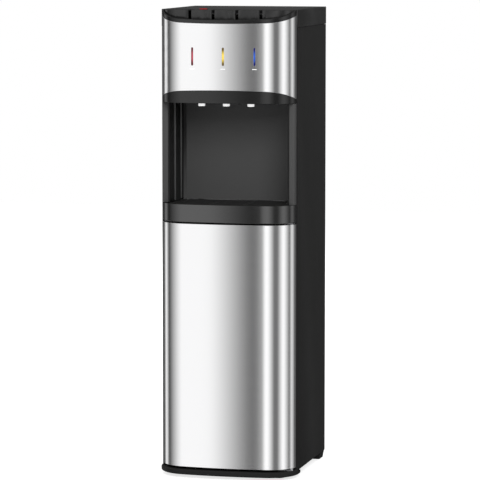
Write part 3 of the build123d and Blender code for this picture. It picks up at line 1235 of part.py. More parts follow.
# Its hose rises, turns down beside the back wall, turns again and climbs to the nipple in the deck.
hose_start_z = collar_base + collar_height + seat_gap
hose_high = deck_top - deck_sheet - hose_radius - 4 - hose_turn
hose_xs = [probe_x - 2 * hose_turn * step for step in range(3)]
with BuildPart() as probe_hose:
    with BuildLine() as hose_route:
        Line((hose_xs[0], hose_y, hose_start_z), (hose_xs[0], hose_y, hose_high))
        ThreePointArc((hose_xs[0], hose_y, hose_high),
                      (hose_xs[0] - hose_turn, hose_y, hose_high + hose_turn),
                      (hose_xs[1], hose_y, hose_high))
        Line((hose_xs[1], hose_y, hose_high), (hose_xs[1], hose_y, hose_low))
        ThreePointArc((hose_xs[1], hose_y, hose_low), (hose_xs[1] - hose_turn, hose_y, hose_low - hose_turn),
                      (hose_xs[2], hose_y, hose_low))
        Line((hose_xs[2], hose_y, hose_low), (hose_xs[2], hose_y, deck_top - deck_sheet - seat_gap))
    probe_path = hose_route.wires()[0]
    with BuildSketch(Plane(origin=(hose_xs[0], hose_y, hose_start_z), z_dir=(0, 0, 1))):
        Circle(hose_radius)
        Circle(hose_bore, mode=Mode.SUBTRACT)
    sweep(path=probe_path)
save(probe_hose, "probe_hose")
print(f"probe hose: {probe_path.length:.0f} mm along its middle, two half turns of {hose_turn:.0f} mm radius")
print(f"water hoses: bends of {inlet_bend:.0f}, {riser_bend:.0f} and {feed_bend:.0f} mm radius")

# ================================================================ electrics
box_depth, box_width, box_height = 20.0, 96.0, 76.0
box_inset, box_drop = 77.0, 75.0  # front of the works and shelf to the middle of the box
box_y, box_z = works_front_y + box_inset, shelf_height - box_drop
with BuildPart() as control_box:
    box_back_x = side_inner_x - seat_gap
    with Locations((box_back_x, box_y, box_z)):
        Box(box_depth, box_width, box_height, align=(Align.MAX, Align.CENTER, Align.CENTER))
    fillet(control_box.faces().sort_by(Axis.X)[0].edges(), 2)
    with Locations((box_back_x - box_depth, box_y, box_z)):
        with GridLocations(1, box_width / 8, 1, 5):
            Box(1.6, 3, box_height * 0.66, mode=Mode.SUBTRACT)
save(control_box, "control_box")

# Three rocker switches on one rod in a bezel, high on the rear panel.
rocker_pitch = 16.6
rocker_width = 15.8
rocker_height = 19.6
rocker_tilt = 8.0
rod_y = rear_panel_y - 4.0
rod_radius = 1.0
bezel_rim, bezel_proud, bezel_depth = 4.0, 2.0, 14.0
with BuildPart() as switch_bezel:
    with BuildSketch(upright(rear_panel_y)):
        with Locations((switch_x, switch_z)):
            RectangleRounded(window_width + 2 * bezel_rim, window_height + 2 * bezel_rim, 3)
    extrude(amount=-bezel_proud)
    with BuildSketch(upright(rear_panel_y)):
        with Locations((switch_x, switch_z)):
            Rectangle(window_width - seat_gap, window_height - seat_gap)
    extrude(amount=bezel_depth)
    with BuildSketch(upright(rear_panel_y + bezel_proud + 1)):
        with Locations((switch_x, switch_z)):
            Rectangle(3 * rocker_pitch + 0.4, rocker_height + 2.6)
    extrude(amount=bezel_depth + 2 * bezel_proud + 2, mode=Mode.SUBTRACT)
    with Locations(Location((switch_x, rod_y, switch_z), (0, 90, 0))):
        Cylinder(rod_radius, window_width - 2)
save(switch_bezel, "switch_bezel")


def rocker(x):
    half = rocker_height / 2
    section = [(-5, -half + 1), (-5, half - 1), (6.2, half), (4.8, 0), (6.2, -half)]
    with BuildPart() as switch:
        flank = Plane(origin=(x - rocker_width / 2, rod_y, switch_z), x_dir=(0, 1, 0), z_dir=(1, 0, 0))
        with BuildSketch(flank):
            with BuildLine():
                Polyline(*section, close=True)
            make_face()
            Circle(rod_radius + running_gap, mode=Mode.SUBTRACT)
        extrude(amount=rocker_width)
    return switch.part.rotate(Axis((x, rod_y, switch_z), (1, 0, 0)), rocker_tilt)


for name, step in (("hot", -1), ("cold", 0), ("light", 1)):
    switch = rocker(switch_x + step * rocker_pitch)
    switch.label = f"switch_{name}"
    export_step(switch, f"parts/switch_{name}.step")

# Bush in the rear panel for the mains lead.
lead_radius = 3.8
gland_flange = 2.5
gland_length = rear_panel_y + gland_flange - deck_rear_y - 1
with BuildPart() as cord_gland:
    with Locations(Location((gland_x, rear_panel_y + gland_flange, gland_z), (90, 0, 0))):
        Cylinder(gland_radius, gland_length, align=(Align.CENTER, Align.CENTER, Align.MIN))
        Cylinder(gland_radius + 3, gland_flange, align=(Align.CENTER, Align.CENTER, Align.MIN))
    fillet(cord_gland.edges().group_by(Axis.Y)[-1], 1)
    with Locations(Location((gland_x, rear_panel_y + gland_flange + 1, gland_z), (90, 0, 0))):
        Cylinder(lead_radius, 2 * gland_length, align=(Align.CENTER, Align.CENTER, Align.MIN),
                 mode=Mode.SUBTRACT)
save(cord_gland, "cord_gland")
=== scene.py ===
# %% [markdown]
# # A bottom-load water cooler, dressed in Blender
# The machine is a tall cabinet: a bowed front in brushed steel, a black dispensing bay with three taps,
# and matt black sheet steel round the rest.  Its mechanical parts arrive as a fixed frame in metres, with
# the floor at z = 0 and the front facing -Y.  This lesson lights them like a product photograph, gives
# each surface a procedural finish, and remakes in finer mesh the pieces that show their curvature most.

import json
from math import asin, cos, pi, radians, sin, sqrt

import bmesh
import bpy
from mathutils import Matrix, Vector
from mathutils.geometry import delaunay_2d_cdt


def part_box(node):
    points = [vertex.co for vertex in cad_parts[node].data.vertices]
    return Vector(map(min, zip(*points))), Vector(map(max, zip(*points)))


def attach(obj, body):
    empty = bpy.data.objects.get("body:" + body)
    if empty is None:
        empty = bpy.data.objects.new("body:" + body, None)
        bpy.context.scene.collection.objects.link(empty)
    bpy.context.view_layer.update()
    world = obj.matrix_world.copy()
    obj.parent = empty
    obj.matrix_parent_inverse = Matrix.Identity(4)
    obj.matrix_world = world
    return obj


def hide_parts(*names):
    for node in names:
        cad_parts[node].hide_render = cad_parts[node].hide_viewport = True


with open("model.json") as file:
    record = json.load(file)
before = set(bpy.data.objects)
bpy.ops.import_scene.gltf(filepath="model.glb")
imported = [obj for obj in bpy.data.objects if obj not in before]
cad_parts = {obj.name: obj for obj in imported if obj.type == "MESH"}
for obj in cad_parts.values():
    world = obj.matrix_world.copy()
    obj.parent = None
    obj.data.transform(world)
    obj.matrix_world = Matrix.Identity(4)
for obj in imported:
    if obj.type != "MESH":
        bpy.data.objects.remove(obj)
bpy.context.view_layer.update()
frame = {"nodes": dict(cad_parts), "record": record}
nodes = frame["nodes"]
MM = 0.001

# %% [markdown]
# ## Sizes taken from the frame
# Everything that is made here sits on a piece of the frame, so the places are read from the frame's boxes.
# They could be typed in, but then a change of the frame would leave them behind.  Only what a box can't
# say, such as the radius of a curve, is written out as a real size.

# %% Read the main sizes
skin_low, skin_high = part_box("door_skin")
FRONT_Y = skin_low.y  # the foremost line of the bow
SEAM_Y = skin_high.y  # where the steel ends at the side panels
BOW_RADIUS = 900 * MM  # of the shallow bow across the front
CORNER_RADIUS = 66 * MM  # of the round corners at both ends of it
SKIN = 0.8 * MM
print("front at", round(FRONT_Y, 4), "seam at", round(SEAM_Y, 4), "steel", SKIN, "thick")

# %% [markdown]
# ## Camera
# The photograph was taken with a long lens from far away: the sides hardly converge.  A shifted lens would
# keep the upright edges quite parallel, but a shift stays in every other view and pushes the machine out of
# it.  So this camera stands over 6 m off, a little to the right and above the top, and looks slightly down.

# %% Place the camera
PHOTO_SIDE = 480  # pixels
FOCAL_PIXELS = 2964
CAMERA_PLACE = (1.627, -6.455, 1.2214)
CAMERA_DOWN, CAMERA_TURN = 6.037, 14.187  # degrees
camera_data = bpy.data.cameras.new("photo_camera")
camera_data.sensor_width = 36
camera_data.lens = FOCAL_PIXELS / PHOTO_SIDE * camera_data.sensor_width
camera_data.clip_end = 100
camera = bpy.data.objects.new("photo_camera", camera_data)
camera.location = CAMERA_PLACE
camera.rotation_euler = (radians(90 - CAMERA_DOWN), 0, radians(CAMERA_TURN))
bpy.context.scene.collection.objects.link(camera)
bpy.context.scene.camera = camera
print("lens", round(camera_data.lens, 1), "mm")

# %% [markdown]
# ## A studio that steel can mirror
# Brushed steel is a mirror that is blurred along one direction, so what it shows is the studio.  A
# photographer hangs tall soft boxes round such a machine, and each one becomes an upright band on the
# bowed front.  Glowing boards could do that here too, but they would stand in the way of the other views.
# So the world holds the soft boxes as bands of azimuth, for glossy rays alone.

# %% Describe the soft boxes
# name: level, then azimuths in degrees from the front (-Y) towards the right (+X):
# where its glow starts, where it is full, where it stops being full, and where it has faded
SOFT_BOXES = {
    "left rear strip": (0.90, -124, -112, -106, -91),
    "left window": (1.04, -86, -32, -18.5, -5.4),
    "front panel": (1.12, -3.9, 0.5, 7, 31),
    "right window": (1.06, 44, 65, 72, 96),
    "right strip": (0.72, 97, 107, 112, 127),
}
GAP_LEVELS = (0.09, 0.07, 0.05, 0.17, 0.15, 0.09)  # the dark studio before, between and after them
stops = [(-180, GAP_LEVELS[0])]
for (level, *azimuths), before, after in zip(SOFT_BOXES.values(), GAP_LEVELS, GAP_LEVELS[1:]):
    stops += zip(azimuths, (before, level, level, after))
stops.append((180, GAP_LEVELS[0]))
print("world:", len(stops), "stops for", len(SOFT_BOXES), "soft boxes")

# %% [markdown]
# ## From bands to a world
# A picture of a studio could be wrapped round the machine, but numbers are easier to change.  The direction
# of a ray gives its azimuth, and a colour ramp turns that into a level.  High up and far down the bands fade
# into one plain level.  Diffuse surfaces get a single level too, and the camera sees white paper.

# %% Find the azimuth of a ray


def add_node(tree, kind, **values):
    """Adds a node and sets its properties, or its inputs where the name is a socket's."""
    node = tree.nodes.new(kind)
    for name, value in values.items():
        if hasattr(node, name):
            setattr(node, name, value)
        else:
            node.inputs[name].default_value = value
    return node


def calculate(tree, operation, *terms, clamp=False):
    """A Math node; each term is a socket or a number."""
    node = add_node(tree, "ShaderNodeMath", operation=operation, use_clamp=clamp)
    for socket, term in zip(node.inputs, terms):
        if isinstance(term, (int, float)):
            socket.default_value = term
        else:
            tree.links.new(term, socket)
    return node.outputs[0]


world = bpy.data.worlds.new("studio")
bpy.context.scene.world = world
world.use_nodes = True
tree = world.node_tree
tree.nodes.clear()
direction = add_node(tree, "ShaderNodeSeparateXYZ")
tree.links.new(add_node(tree, "ShaderNodeTexCoord").outputs["Generated"], direction.inputs[0])
forward = calculate(tree, "MULTIPLY", direction.outputs["Y"], -1.0)
azimuth = calculate(tree, "ARCTAN2", direction.outputs["X"], forward)
turn = calculate(tree, "MULTIPLY_ADD", azimuth, 1 / (2 * pi), 0.5)  # a full circle from 0 to 1
print("nodes up to the azimuth:", len(tree.nodes))

# %% Turn the azimuth into a level


def grey(level):
    """A grey as a colour triple."""
    return (level, level, level)


ramp = add_node(tree, "ShaderNodeValToRGB")
elements = ramp.color_ramp.elements
elements.remove(elements[1])
for index, (angle, level) in enumerate(stops):
    place = angle / 360 + 0.5
    stop = elements.new(place) if index else elements[0]
    stop.position = place
    stop.color = (*grey(level), 1)
tree.links.new(turn, ramp.inputs[0])
print("stops in the ramp:", len(elements))

# %% Sort the rays
DIFFUSE_LEVEL = 0.62
STEEP_LEVEL = 0.30
STEEP_RISES = (0.45, 0.9)  # rise or fall of a ray where the bands start to fade, and where they are gone


def set_inputs(node, values):
    """Sets inputs of a node from a dictionary of socket names and values."""
    for name, value in values.items():
        node.inputs[name].default_value = value


def blended(tree, factor, first, second):
    """A Mix node between two colours; each one is a socket or a colour triple."""
    mix = add_node(tree, "ShaderNodeMix", data_type="RGBA")
    tree.links.new(factor, mix.inputs["Factor"])
    for name, color in (("A", first), ("B", second)):
        if isinstance(color, tuple):
            mix.inputs[name].default_value = (*color, 1)
        else:
            tree.links.new(color, mix.inputs[name])
    return mix.outputs["Result"]


def rising(tree, value, start, full):
    """0 up to the start, 1 from the full value on, and a soft slope between them."""
    slope = add_node(tree, "ShaderNodeMapRange", interpolation_type="SMOOTHSTEP")
    set_inputs(slope, {"From Min": start, "From Max": full})
    tree.links.new(value, slope.inputs["Value"])
    return slope.outputs[0]


steep = rising(tree, calculate(tree, "ABSOLUTE", direction.outputs["Z"]), *STEEP_RISES)
mirrored = blended(tree, steep, ramp.outputs[0], grey(STEEP_LEVEL))
rays = add_node(tree, "ShaderNodeLightPath")
lighting = blended(tree, rays.outputs["Is Glossy Ray"], grey(DIFFUSE_LEVEL), mirrored)
background = blended(tree, rays.outputs["Is Camera Ray"], lighting, grey(1.0))
sky = add_node(tree, "ShaderNodeBackground")
tree.links.new(background, sky.inputs["Color"])
tree.links.new(sky.outputs[0], add_node(tree, "ShaderNodeOutputWorld").inputs["Surface"])
bpy.context.scene.view_settings.view_transform = "Standard"
print("world nodes:", len(tree.nodes))

# %% [markdown]
# ## Floor and lamps
# The floor is pale paper that keeps a soft shadow.  A brighter lamp could bleach it, but it would bleach the
# machine too.  So part of its white is its own glow, seen by the camera alone, and it joins the white
# backdrop.  Steel would mirror it as a hard horizon, so glossy rays pass it.  One large lamp from the upper
# right reaches into the bay, and one behind keeps the back readable.

# %% Make the floor and the lamps
FLOOR_HALF = 6.0  # metres from the machine to each edge
FLOOR_GREY = 0.50
FLOOR_GLOW = 0.74
LAMPS = {"key_light": (150, (1.7, -3.8, 2.7)), "back_light": (110, (-2.4, 3.4, 2.2))}  # watts, place
LAMP_WIDTH, LAMP_HEIGHT = 2.4, 2.0
LAMP_AIM = Vector((0, 0, 0.5))


def mesh_object(name, vertices, faces):
    """A linked object with a new mesh of its own."""
    mesh = bpy.data.meshes.new(name)
    mesh.from_pydata([tuple(vertex) for vertex in vertices], [], faces)
    mesh.update()
    piece = bpy.data.objects.new(name, mesh)
    bpy.context.scene.collection.objects.link(piece)
    return piece


corners = [(FLOOR_HALF * x, FLOOR_HALF * y, 0) for x, y in ((-1, -1), (1, -1), (1, 1), (-1, 1))]
floor = mesh_object("paper_floor", corners, [(0, 1, 2, 3)])
paper = bpy.data.materials.new("paper")
paper.use_nodes = True
tree = paper.node_tree
shader = tree.nodes["Principled BSDF"]
set_inputs(shader, {"Base Color": (*grey(FLOOR_GREY), 1), "Roughness": 0.9, "Specular IOR Level": 0.0,
                    "Emission Color": (*grey(1.0), 1)})
rays = add_node(tree, "ShaderNodeLightPath")
glow = calculate(tree, "MULTIPLY", rays.outputs["Is Camera Ray"], FLOOR_GLOW)
tree.links.new(glow, shader.inputs["Emission Strength"])
floor.data.materials.append(paper)
floor.visible_glossy = False
for name, (watts, place) in LAMPS.items():
    lamp_data = bpy.data.lights.new(name, "AREA")
    lamp_data.shape = "RECTANGLE"
    lamp_data.size, lamp_data.size_y = LAMP_WIDTH, LAMP_HEIGHT
    lamp_data.energy = watts
    lamp = bpy.data.objects.new(name, lamp_data)
    lamp.location = place
    lamp.rotation_euler = (LAMP_AIM - lamp.location).to_track_quat("-Z", "Y").to_euler()
    lamp.visible_glossy = False
    bpy.context.scene.collection.objects.link(lamp)
print("floor", 2 * FLOOR_HALF, "m wide, lamps:", ", ".join(LAMPS))

# %% [markdown]
# ## Shared surface effects
# Three effects make up the surfaces, and each is a node group with its own inputs: the fine grain of a
# moulding or a paint, the drawn lines of brushed steel, and the dust that settles on what faces up.  They
# could be painted as images, but noise has no seams.  All of them read Object coordinates, which are metres
# in the machine's own frame, so a scale is a real one.  The grain comes first.

# %% Sockets of the grain


def effect_group(name, inputs, outputs):
    """An empty shader group with colour and number sockets; returns it with its two end nodes."""
    group = bpy.data.node_groups.new(name, "ShaderNodeTree")
    kinds = {"color": "NodeSocketColor", "float": "NodeSocketFloat"}
    for label, kind, value in inputs:
        socket = group.interface.new_socket(label, in_out="INPUT", socket_type=kinds[kind])
        socket.default_value = value
    for label, kind in outputs:
        group.interface.new_socket(label, in_out="OUTPUT", socket_type=kinds[kind])
    return group, group.nodes.new("NodeGroupInput"), group.nodes.new("NodeGroupOutput")


FINISH_OUTPUTS = [("Color", "color"), ("Roughness", "float")]
grain_group, source, target = effect_group(
    "moulded_grain",
    [("Color", "color", (*grey(0.5), 1)), ("Roughness", "float", 0.5), ("Scale", "float", 900.0),
     ("Variation", "float", 0.1), ("Smudge", "float", 0.1)],
    [*FINISH_OUTPUTS, ("Height", "float")])
print("moulded_grain:", len(grain_group.interface.items_tree), "sockets")

# %% Fill the grain
CLOUDS = 7.0  # slow changes of tint and gloss to the metre


def object_noise(tree, scale, detail=2.0, stretch=(1, 1, 1), roughness=0.5):
    """Noise in Object coordinates; the scale may be a socket."""
    place = add_node(tree, "ShaderNodeMapping", Scale=stretch)
    tree.links.new(add_node(tree, "ShaderNodeTexCoord").outputs["Object"], place.inputs["Vector"])
    noise = add_node(tree, "ShaderNodeTexNoise", Detail=detail, Roughness=roughness)
    tree.links.new(place.outputs[0], noise.inputs["Vector"])
    if isinstance(scale, (int, float)):
        noise.inputs["Scale"].default_value = scale
    else:
        tree.links.new(scale, noise.inputs["Scale"])
    return noise.outputs["Fac"]


def shaded(tree, color, factor):
    """A colour multiplied by a grey factor."""
    mix = add_node(tree, "ShaderNodeVectorMath", operation="SCALE")
    tree.links.new(color, mix.inputs[0])
    tree.links.new(factor, mix.inputs["Scale"])
    return mix.outputs[0]


def varied(tree, value, spread):
    """1 + (value - 0.5) * spread, for a value that stays round a half."""
    offset = calculate(tree, "SUBTRACT", value, 0.5)
    return calculate(tree, "MULTIPLY_ADD", offset, spread, 1.0)


fine = object_noise(grain_group, source.outputs["Scale"], detail=3.0)
cloud = object_noise(grain_group, CLOUDS)
tint = varied(grain_group, cloud, source.outputs["Variation"])
grain_group.links.new(shaded(grain_group, source.outputs["Color"], tint), target.inputs["Color"])
smudge = varied(grain_group, cloud, source.outputs["Smudge"])
matt = calculate(grain_group, "MULTIPLY", source.outputs["Roughness"], smudge, clamp=True)
grain_group.links.new(matt, target.inputs["Roughness"])
grain_group.links.new(fine, target.inputs["Height"])
print("moulded_grain:", len(grain_group.nodes), "nodes")

# %% [markdown]
# ## Brushed lines and dust
# A brushing belt leaves long strokes with finer scratches between them.  Noise that is stretched level gives
# both, once coarse and once fine, and the same lines change tint, gloss and height together, as real ones do.
# Dust needs no picture either: it lies where a surface faces up, in patches, and it is pale and rough.

# %% Build the brushed lines
LONG_LINES = (5, 5, 420)  # to the metre along x, y and z
SHORT_LINES = (40, 40, 2200)
LINE_GLOSS = 0.35  # how much the lines change the gloss
brush_group, source, target = effect_group(
    "brushed_lines",
    [("Color", "color", (*grey(0.8), 1)), ("Roughness", "float", 0.3), ("Contrast", "float", 0.1)],
    [*FINISH_OUTPUTS, ("Height", "float")])
long_lines = object_noise(brush_group, 1.0, detail=4.0, stretch=LONG_LINES, roughness=0.75)
short_lines = object_noise(brush_group, 1.0, stretch=SHORT_LINES, roughness=0.6)
half_long = calculate(brush_group, "MULTIPLY", long_lines, 0.5)
both = calculate(brush_group, "MULTIPLY_ADD", short_lines, 0.5, half_long)
tint = varied(brush_group, both, source.outputs["Contrast"])
brush_group.links.new(shaded(brush_group, source.outputs["Color"], tint), target.inputs["Color"])
uneven = varied(brush_group, both, LINE_GLOSS)
rough = calculate(brush_group, "MULTIPLY", source.outputs["Roughness"], uneven)
brush_group.links.new(rough, target.inputs["Roughness"])
brush_group.links.new(both, target.inputs["Height"])
print("brushed_lines:", len(brush_group.nodes), "nodes")

# %% Build the dust
DUST_COLOR = (0.30, 0.29, 0.27)
DUST_ROUGHNESS = 0.6  # what a full cover adds
DUST_PATCHES = 24.0  # to the metre
DUST_SLOPES = (0.6, 1.0)  # how far up a surface has to face for the first dust and for all of it
dust_group, source, target = effect_group(
    "settled_dust",
    [("Color", "color", (*grey(0.1), 1)), ("Roughness", "float", 0.5), ("Amount", "float", 0.1)],
    FINISH_OUTPUTS)
facing = add_node(dust_group, "ShaderNodeSeparateXYZ")
dust_group.links.new(add_node(dust_group, "ShaderNodeNewGeometry").outputs["Normal"], facing.inputs[0])
upward = rising(dust_group, facing.outputs["Z"], *DUST_SLOPES)
patches = object_noise(dust_group, DUST_PATCHES, detail=5.0)
cover = calculate(dust_group, "MULTIPLY", upward, patches)
cover = calculate(dust_group, "MULTIPLY", cover, source.outputs["Amount"], clamp=True)
dust_group.links.new(blended(dust_group, cover, source.outputs["Color"], DUST_COLOR), target.inputs["Color"])
bare = source.outputs["Roughness"]
rougher = calculate(dust_group, "MULTIPLY_ADD", cover, DUST_ROUGHNESS, bare, clamp=True)
dust_group.links.new(rougher, target.inputs["Roughness"])
print("settled_dust:", len(dust_group.nodes), "nodes")

# %% [markdown]
# ## Moulded and painted finishes
# Plastic, paint, rubber, foam and plain metal differ only in colour, gloss and grain.  Each could be a
# material of its own by hand, but one function keeps them alike in build, and a finish is then one line.

# %% A function for grained finishes
materials = {}


def new_material(name):
    """A material in the list of finishes; returns its tree and its shader."""
    material = bpy.data.materials.new(name + "_finish")
    material.use_nodes = True
    materials[name] = material
    return material.node_tree, material.node_tree.nodes["Principled BSDF"]


def group_node(tree, group, **values):
    """Places an effect in a material, with values of its own."""
    node = add_node(tree, "ShaderNodeGroup", node_tree=group)
    set_inputs(node, values)
    return node


def bump_from(tree, height, shader, depth):
    """Feeds a height to the shader's normal; the depth of the relief is in millimetres."""
    bump = add_node(tree, "ShaderNodeBump", Distance=depth * MM, Strength=1.0)
    tree.links.new(height, bump.inputs["Height"])
    tree.links.new(bump.outputs[0], shader.inputs["Normal"])


def moulded(name, color, roughness, ior=1.5, gleam=0.5, scale=900.0, depth=0.03, variation=0.12,
            smudge=0.3, dust=0.12, metallic=0.0):
    """A fine-grained finish; depth is the grain's height in millimetres, gleam the specular level."""
    tree, shader = new_material(name)
    grain = group_node(tree, grain_group, Color=(*color, 1), Roughness=roughness, Scale=scale,
                       Variation=variation, Smudge=smudge)
    settled = group_node(tree, dust_group, Amount=dust)
    tree.links.new(grain.outputs["Color"], settled.inputs["Color"])
    tree.links.new(grain.outputs["Roughness"], settled.inputs["Roughness"])
    tree.links.new(settled.outputs["Color"], shader.inputs["Base Color"])
    tree.links.new(settled.outputs["Roughness"], shader.inputs["Roughness"])
    set_inputs(shader, {"IOR": ior, "Specular IOR Level": gleam, "Metallic": metallic})
    bump_from(tree, grain.outputs["Height"], shader, depth)
    return tree, shader


tree, shader = moulded("black_plastic", grey(0.016), 0.40, gleam=0.07, dust=0.03)
print("black plastic:", len(tree.nodes), "nodes")

# %% The list of finishes
moulded("black_gloss", grey(0.008), 0.16, depth=0.004, variation=0.05, dust=0.02)
moulded("tray_gloss", grey(0.008), 0.13, ior=1.9, depth=0.004, variation=0.05, dust=0.02)
moulded("grey_plastic", grey(0.060), 0.42, gleam=0.2, dust=0.05)
moulded("bay_plastic", grey(0.040), 0.34, ior=1.7, depth=0.004, dust=0.03)
moulded("key_satin", grey(0.018), 0.30, depth=0.01, dust=0.02)
moulded("cover_satin", grey(0.015), 0.22, depth=0.008, dust=0.03)
# The rear panel's paint is a lighter copy of the black paint: painted light, so the back reads in its dim
# light.
moulded("back_paint_painted_light", grey(0.030), 0.40, scale=1300.0, depth=0.05, variation=0.06)
moulded("black_paint", grey(0.015), 0.30, gleam=0.08, scale=1300.0, depth=0.05, variation=0.06, dust=0.03)
# The white plastic glows a little: painted light that brightens the nozzles in the shade under the visor.
tree, shader = moulded("white_plastic", (0.90, 0.90, 0.89), 0.30, variation=0.03, dust=0.0)
set_inputs(shader, {"Emission Color": (*grey(1.0), 1), "Emission Strength": 0.55})
moulded("liner_plastic", (0.62, 0.63, 0.63), 0.38, variation=0.04)
moulded("red_plastic", (0.25, 0.012, 0.014), 0.35, variation=0.06, dust=0.0)
moulded("foam", (0.72, 0.66, 0.50), 0.85, scale=420.0, depth=0.25, variation=0.2)
moulded("felt_jacket", grey(0.09), 0.95, scale=700.0, depth=0.4, variation=0.3)
moulded("rubber", grey(0.02), 0.62, depth=0.05)
moulded("zinc_steel", (0.62, 0.63, 0.65), 0.34, scale=160.0, depth=0.01, variation=0.25, metallic=1.0)
moulded("stainless", (0.66, 0.66, 0.67), 0.26, scale=300.0, depth=0.01, variation=0.08, metallic=1.0)
moulded("copper", (0.62, 0.30, 0.18), 0.32, scale=200.0, depth=0.01, variation=0.3, metallic=1.0)
tree, shader = moulded("hose", (0.74, 0.77, 0.77), 0.30, variation=0.04, dust=0.0)
set_inputs(shader, {"Transmission Weight": 0.35})
moulded("circuit_board", (0.03, 0.16, 0.07), 0.4, scale=220.0, depth=0.02, variation=0.5)
print("moulded and painted finishes:", len(materials))

# %% [markdown]
# ## Brushed steel
# The brush ran level round the machine, so the mirror image is smeared up and down and stays sharp from side
# to side.  Bump alone would need scratches finer than a pixel for that.  The shader's anisotropy does it
# with one number, along a tangent that runs round the upright axis.

# %% Steel finish
BRUSH_DEPTH = 0.0012  # millimetres
tree, shader = new_material("brushed_steel")
brushed = group_node(tree, brush_group, Color=(0.93, 0.93, 0.935, 1), Roughness=0.20, Contrast=0.07)
tree.links.new(brushed.outputs["Color"], shader.inputs["Base Color"])
tree.links.new(brushed.outputs["Roughness"], shader.inputs["Roughness"])
set_inputs(shader, {"Metallic": 1.0, "Anisotropic": 0.9, "Anisotropic Rotation": 0.25})
tangent = add_node(tree, "ShaderNodeTangent", direction_type="RADIAL", axis="Z")
tree.links.new(tangent.outputs[0], shader.inputs["Tangent"])
bump_from(tree, brushed.outputs["Height"], shader, BRUSH_DEPTH)
print("steel is metal with anisotropy", round(shader.inputs["Anisotropic"].default_value, 2))

# %% [markdown]
# ## Lit bars
# A light bar is clear plastic with a lamp behind its middle, so it glows there and fades to a dark tint at
# both ends.  A lamp inside it could do that, but a plain glow is cheaper and survives the export.  The fade
# follows the height inside the bar, which Object coordinates give directly.

# %% Light bar finishes
GLOW_FULL, GLOW_GONE = 0.15, 0.85  # share of the way from the bar's middle to its end


def object_axis(tree, axis):
    """One of the Object coordinates, in metres."""
    place = add_node(tree, "ShaderNodeSeparateXYZ")
    tree.links.new(add_node(tree, "ShaderNodeTexCoord").outputs["Object"], place.inputs[0])
    return place.outputs[axis]


def light_bar(slot, node, dark, bright, strength):
    """A glow that is strongest at the middle of the bar."""
    low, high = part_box(node)
    tree, shader = new_material(slot)
    along = calculate(tree, "SUBTRACT", object_axis(tree, "Z"), (low.z + high.z) / 2)
    share = calculate(tree, "DIVIDE", calculate(tree, "ABSOLUTE", along), (high.z - low.z) / 2)
    fade = add_node(tree, "ShaderNodeValToRGB")
    fade.color_ramp.interpolation = "EASE"
    for stop, place, color in zip(fade.color_ramp.elements, (GLOW_FULL, GLOW_GONE), (bright, dark)):
        stop.position = place
        stop.color = (*color, 1)
    tree.links.new(share, fade.inputs[0])
    tree.links.new(fade.outputs[0], shader.inputs["Base Color"])
    tree.links.new(fade.outputs[0], shader.inputs["Emission Color"])
    set_inputs(shader, {"Emission Strength": strength, "Roughness": 0.25})
    grain = group_node(tree, grain_group, Scale=600.0)
    bump_from(tree, grain.outputs["Height"], shader, 0.01)


light_bar("red_light", "light_hot", (0.09, 0.002, 0.008), (0.40, 0.05, 0.08), 0.12)
light_bar("yellow_light", "light_room", (0.10, 0.06, 0.004), (0.85, 0.62, 0.09), 0.15)
light_bar("blue_light", "light_cold", (0.002, 0.002, 0.10), (0.02, 0.09, 0.46), 0.12)
print("finishes:", len(materials))

# %% [markdown]
# ## Give every part of the frame its finish
# Each mesh of the frame carries a material slot with the name of its finish, so one loop dresses them all.
# A few parts have more or less gloss than the rest of their kind, and so a finish of their own.  The rear
# panel's is also a lighter copy of the black paint: painted light for the dim back.

# %% Assign the finishes
SPECIAL_FINISHES = {"drip_tray": "tray_gloss", "top_cover": "cover_satin", "rear_panel": "back_paint_painted_light",
                    "key_hot": "key_satin", "key_room": "key_satin", "key_cold": "key_satin"}
slot_of, finish_of = {}, {}
for name, node in nodes.items():
    slot_of[name] = node.material_slots[0].material.name.split(".")[0]
    finish_of[name] = materials[SPECIAL_FINISHES.get(name, slot_of[name])]
    for slot in node.material_slots:
        slot.material = finish_of[name]
print("dressed", len(nodes), "parts")

# %% [markdown]
# ## The curve of the bowed front
# On the real machine each skin is one strip of thin steel, bent to a shallow bow that turns into a round
# corner.  A press brake can't change from one radius to the other at a line: the bend eases in over a couple
# of centimetres, and brushed steel shows that at once.  Two plain arcs would show a hard line there.  So the
# plan curve is made from its angle, which is averaged over a short window and then added up to a path.

# %% The eased front curve
CORNER_X = 89 * MM  # centre of the round corner
EASE = 10 * MM  # half the length over which the bend changes
EASE_SAMPLES = 21
STEP = 0.5 * MM
first_angle = asin(CORNER_X / (BOW_RADIUS - CORNER_RADIUS))
first_length = BOW_RADIUS * first_angle
CORNER_Y = FRONT_Y + BOW_RADIUS - sqrt((BOW_RADIUS - CORNER_RADIUS) ** 2 - CORNER_X**2)
last_angle = pi / 2 - asin((CORNER_Y - SEAM_Y) / CORNER_RADIUS)
front_length = first_length + (last_angle - first_angle) * CORNER_RADIUS


def pressed_angle(length):
    """Outward angle of the two plain arcs, from -Y towards +X, at a length along them from the middle."""
    if abs(length) < first_length:
        return length / BOW_RADIUS
    turned = first_angle + (abs(length) - first_length) / CORNER_RADIUS
    return turned if length > 0 else -turned


front_path = [(0.0, FRONT_Y, 0.0)]  # x, y, angle at every STEP of length
for index in range(int(front_length / STEP)):
    middle = (index + 0.5) * STEP
    shares = [2 * sample / (EASE_SAMPLES - 1) - 1 for sample in range(EASE_SAMPLES)]
    angle = sum(pressed_angle(middle + EASE * share) for share in shares) / EASE_SAMPLES
    x, y, _ = front_path[-1]
    front_path.append((x + STEP * cos(angle), y + STEP * sin(angle), angle))
print("front path", len(front_path), "points, ends at", [round(value, 4) for value in front_path[-1][:2]])

# %% Find places on the curve


def on_front(length):
    """Plan point and outward direction at a signed length along the front."""
    place = min(abs(length) / STEP, len(front_path) - 1.001)  # stays short of the last point
    index = int(place)
    share = place - index
    x, y, angle = (a + (b - a) * share for a, b in zip(front_path[index], front_path[index + 1]))
    side = 1 if length >= 0 else -1
    return side * x, y, Vector((side * sin(angle), -cos(angle), 0))


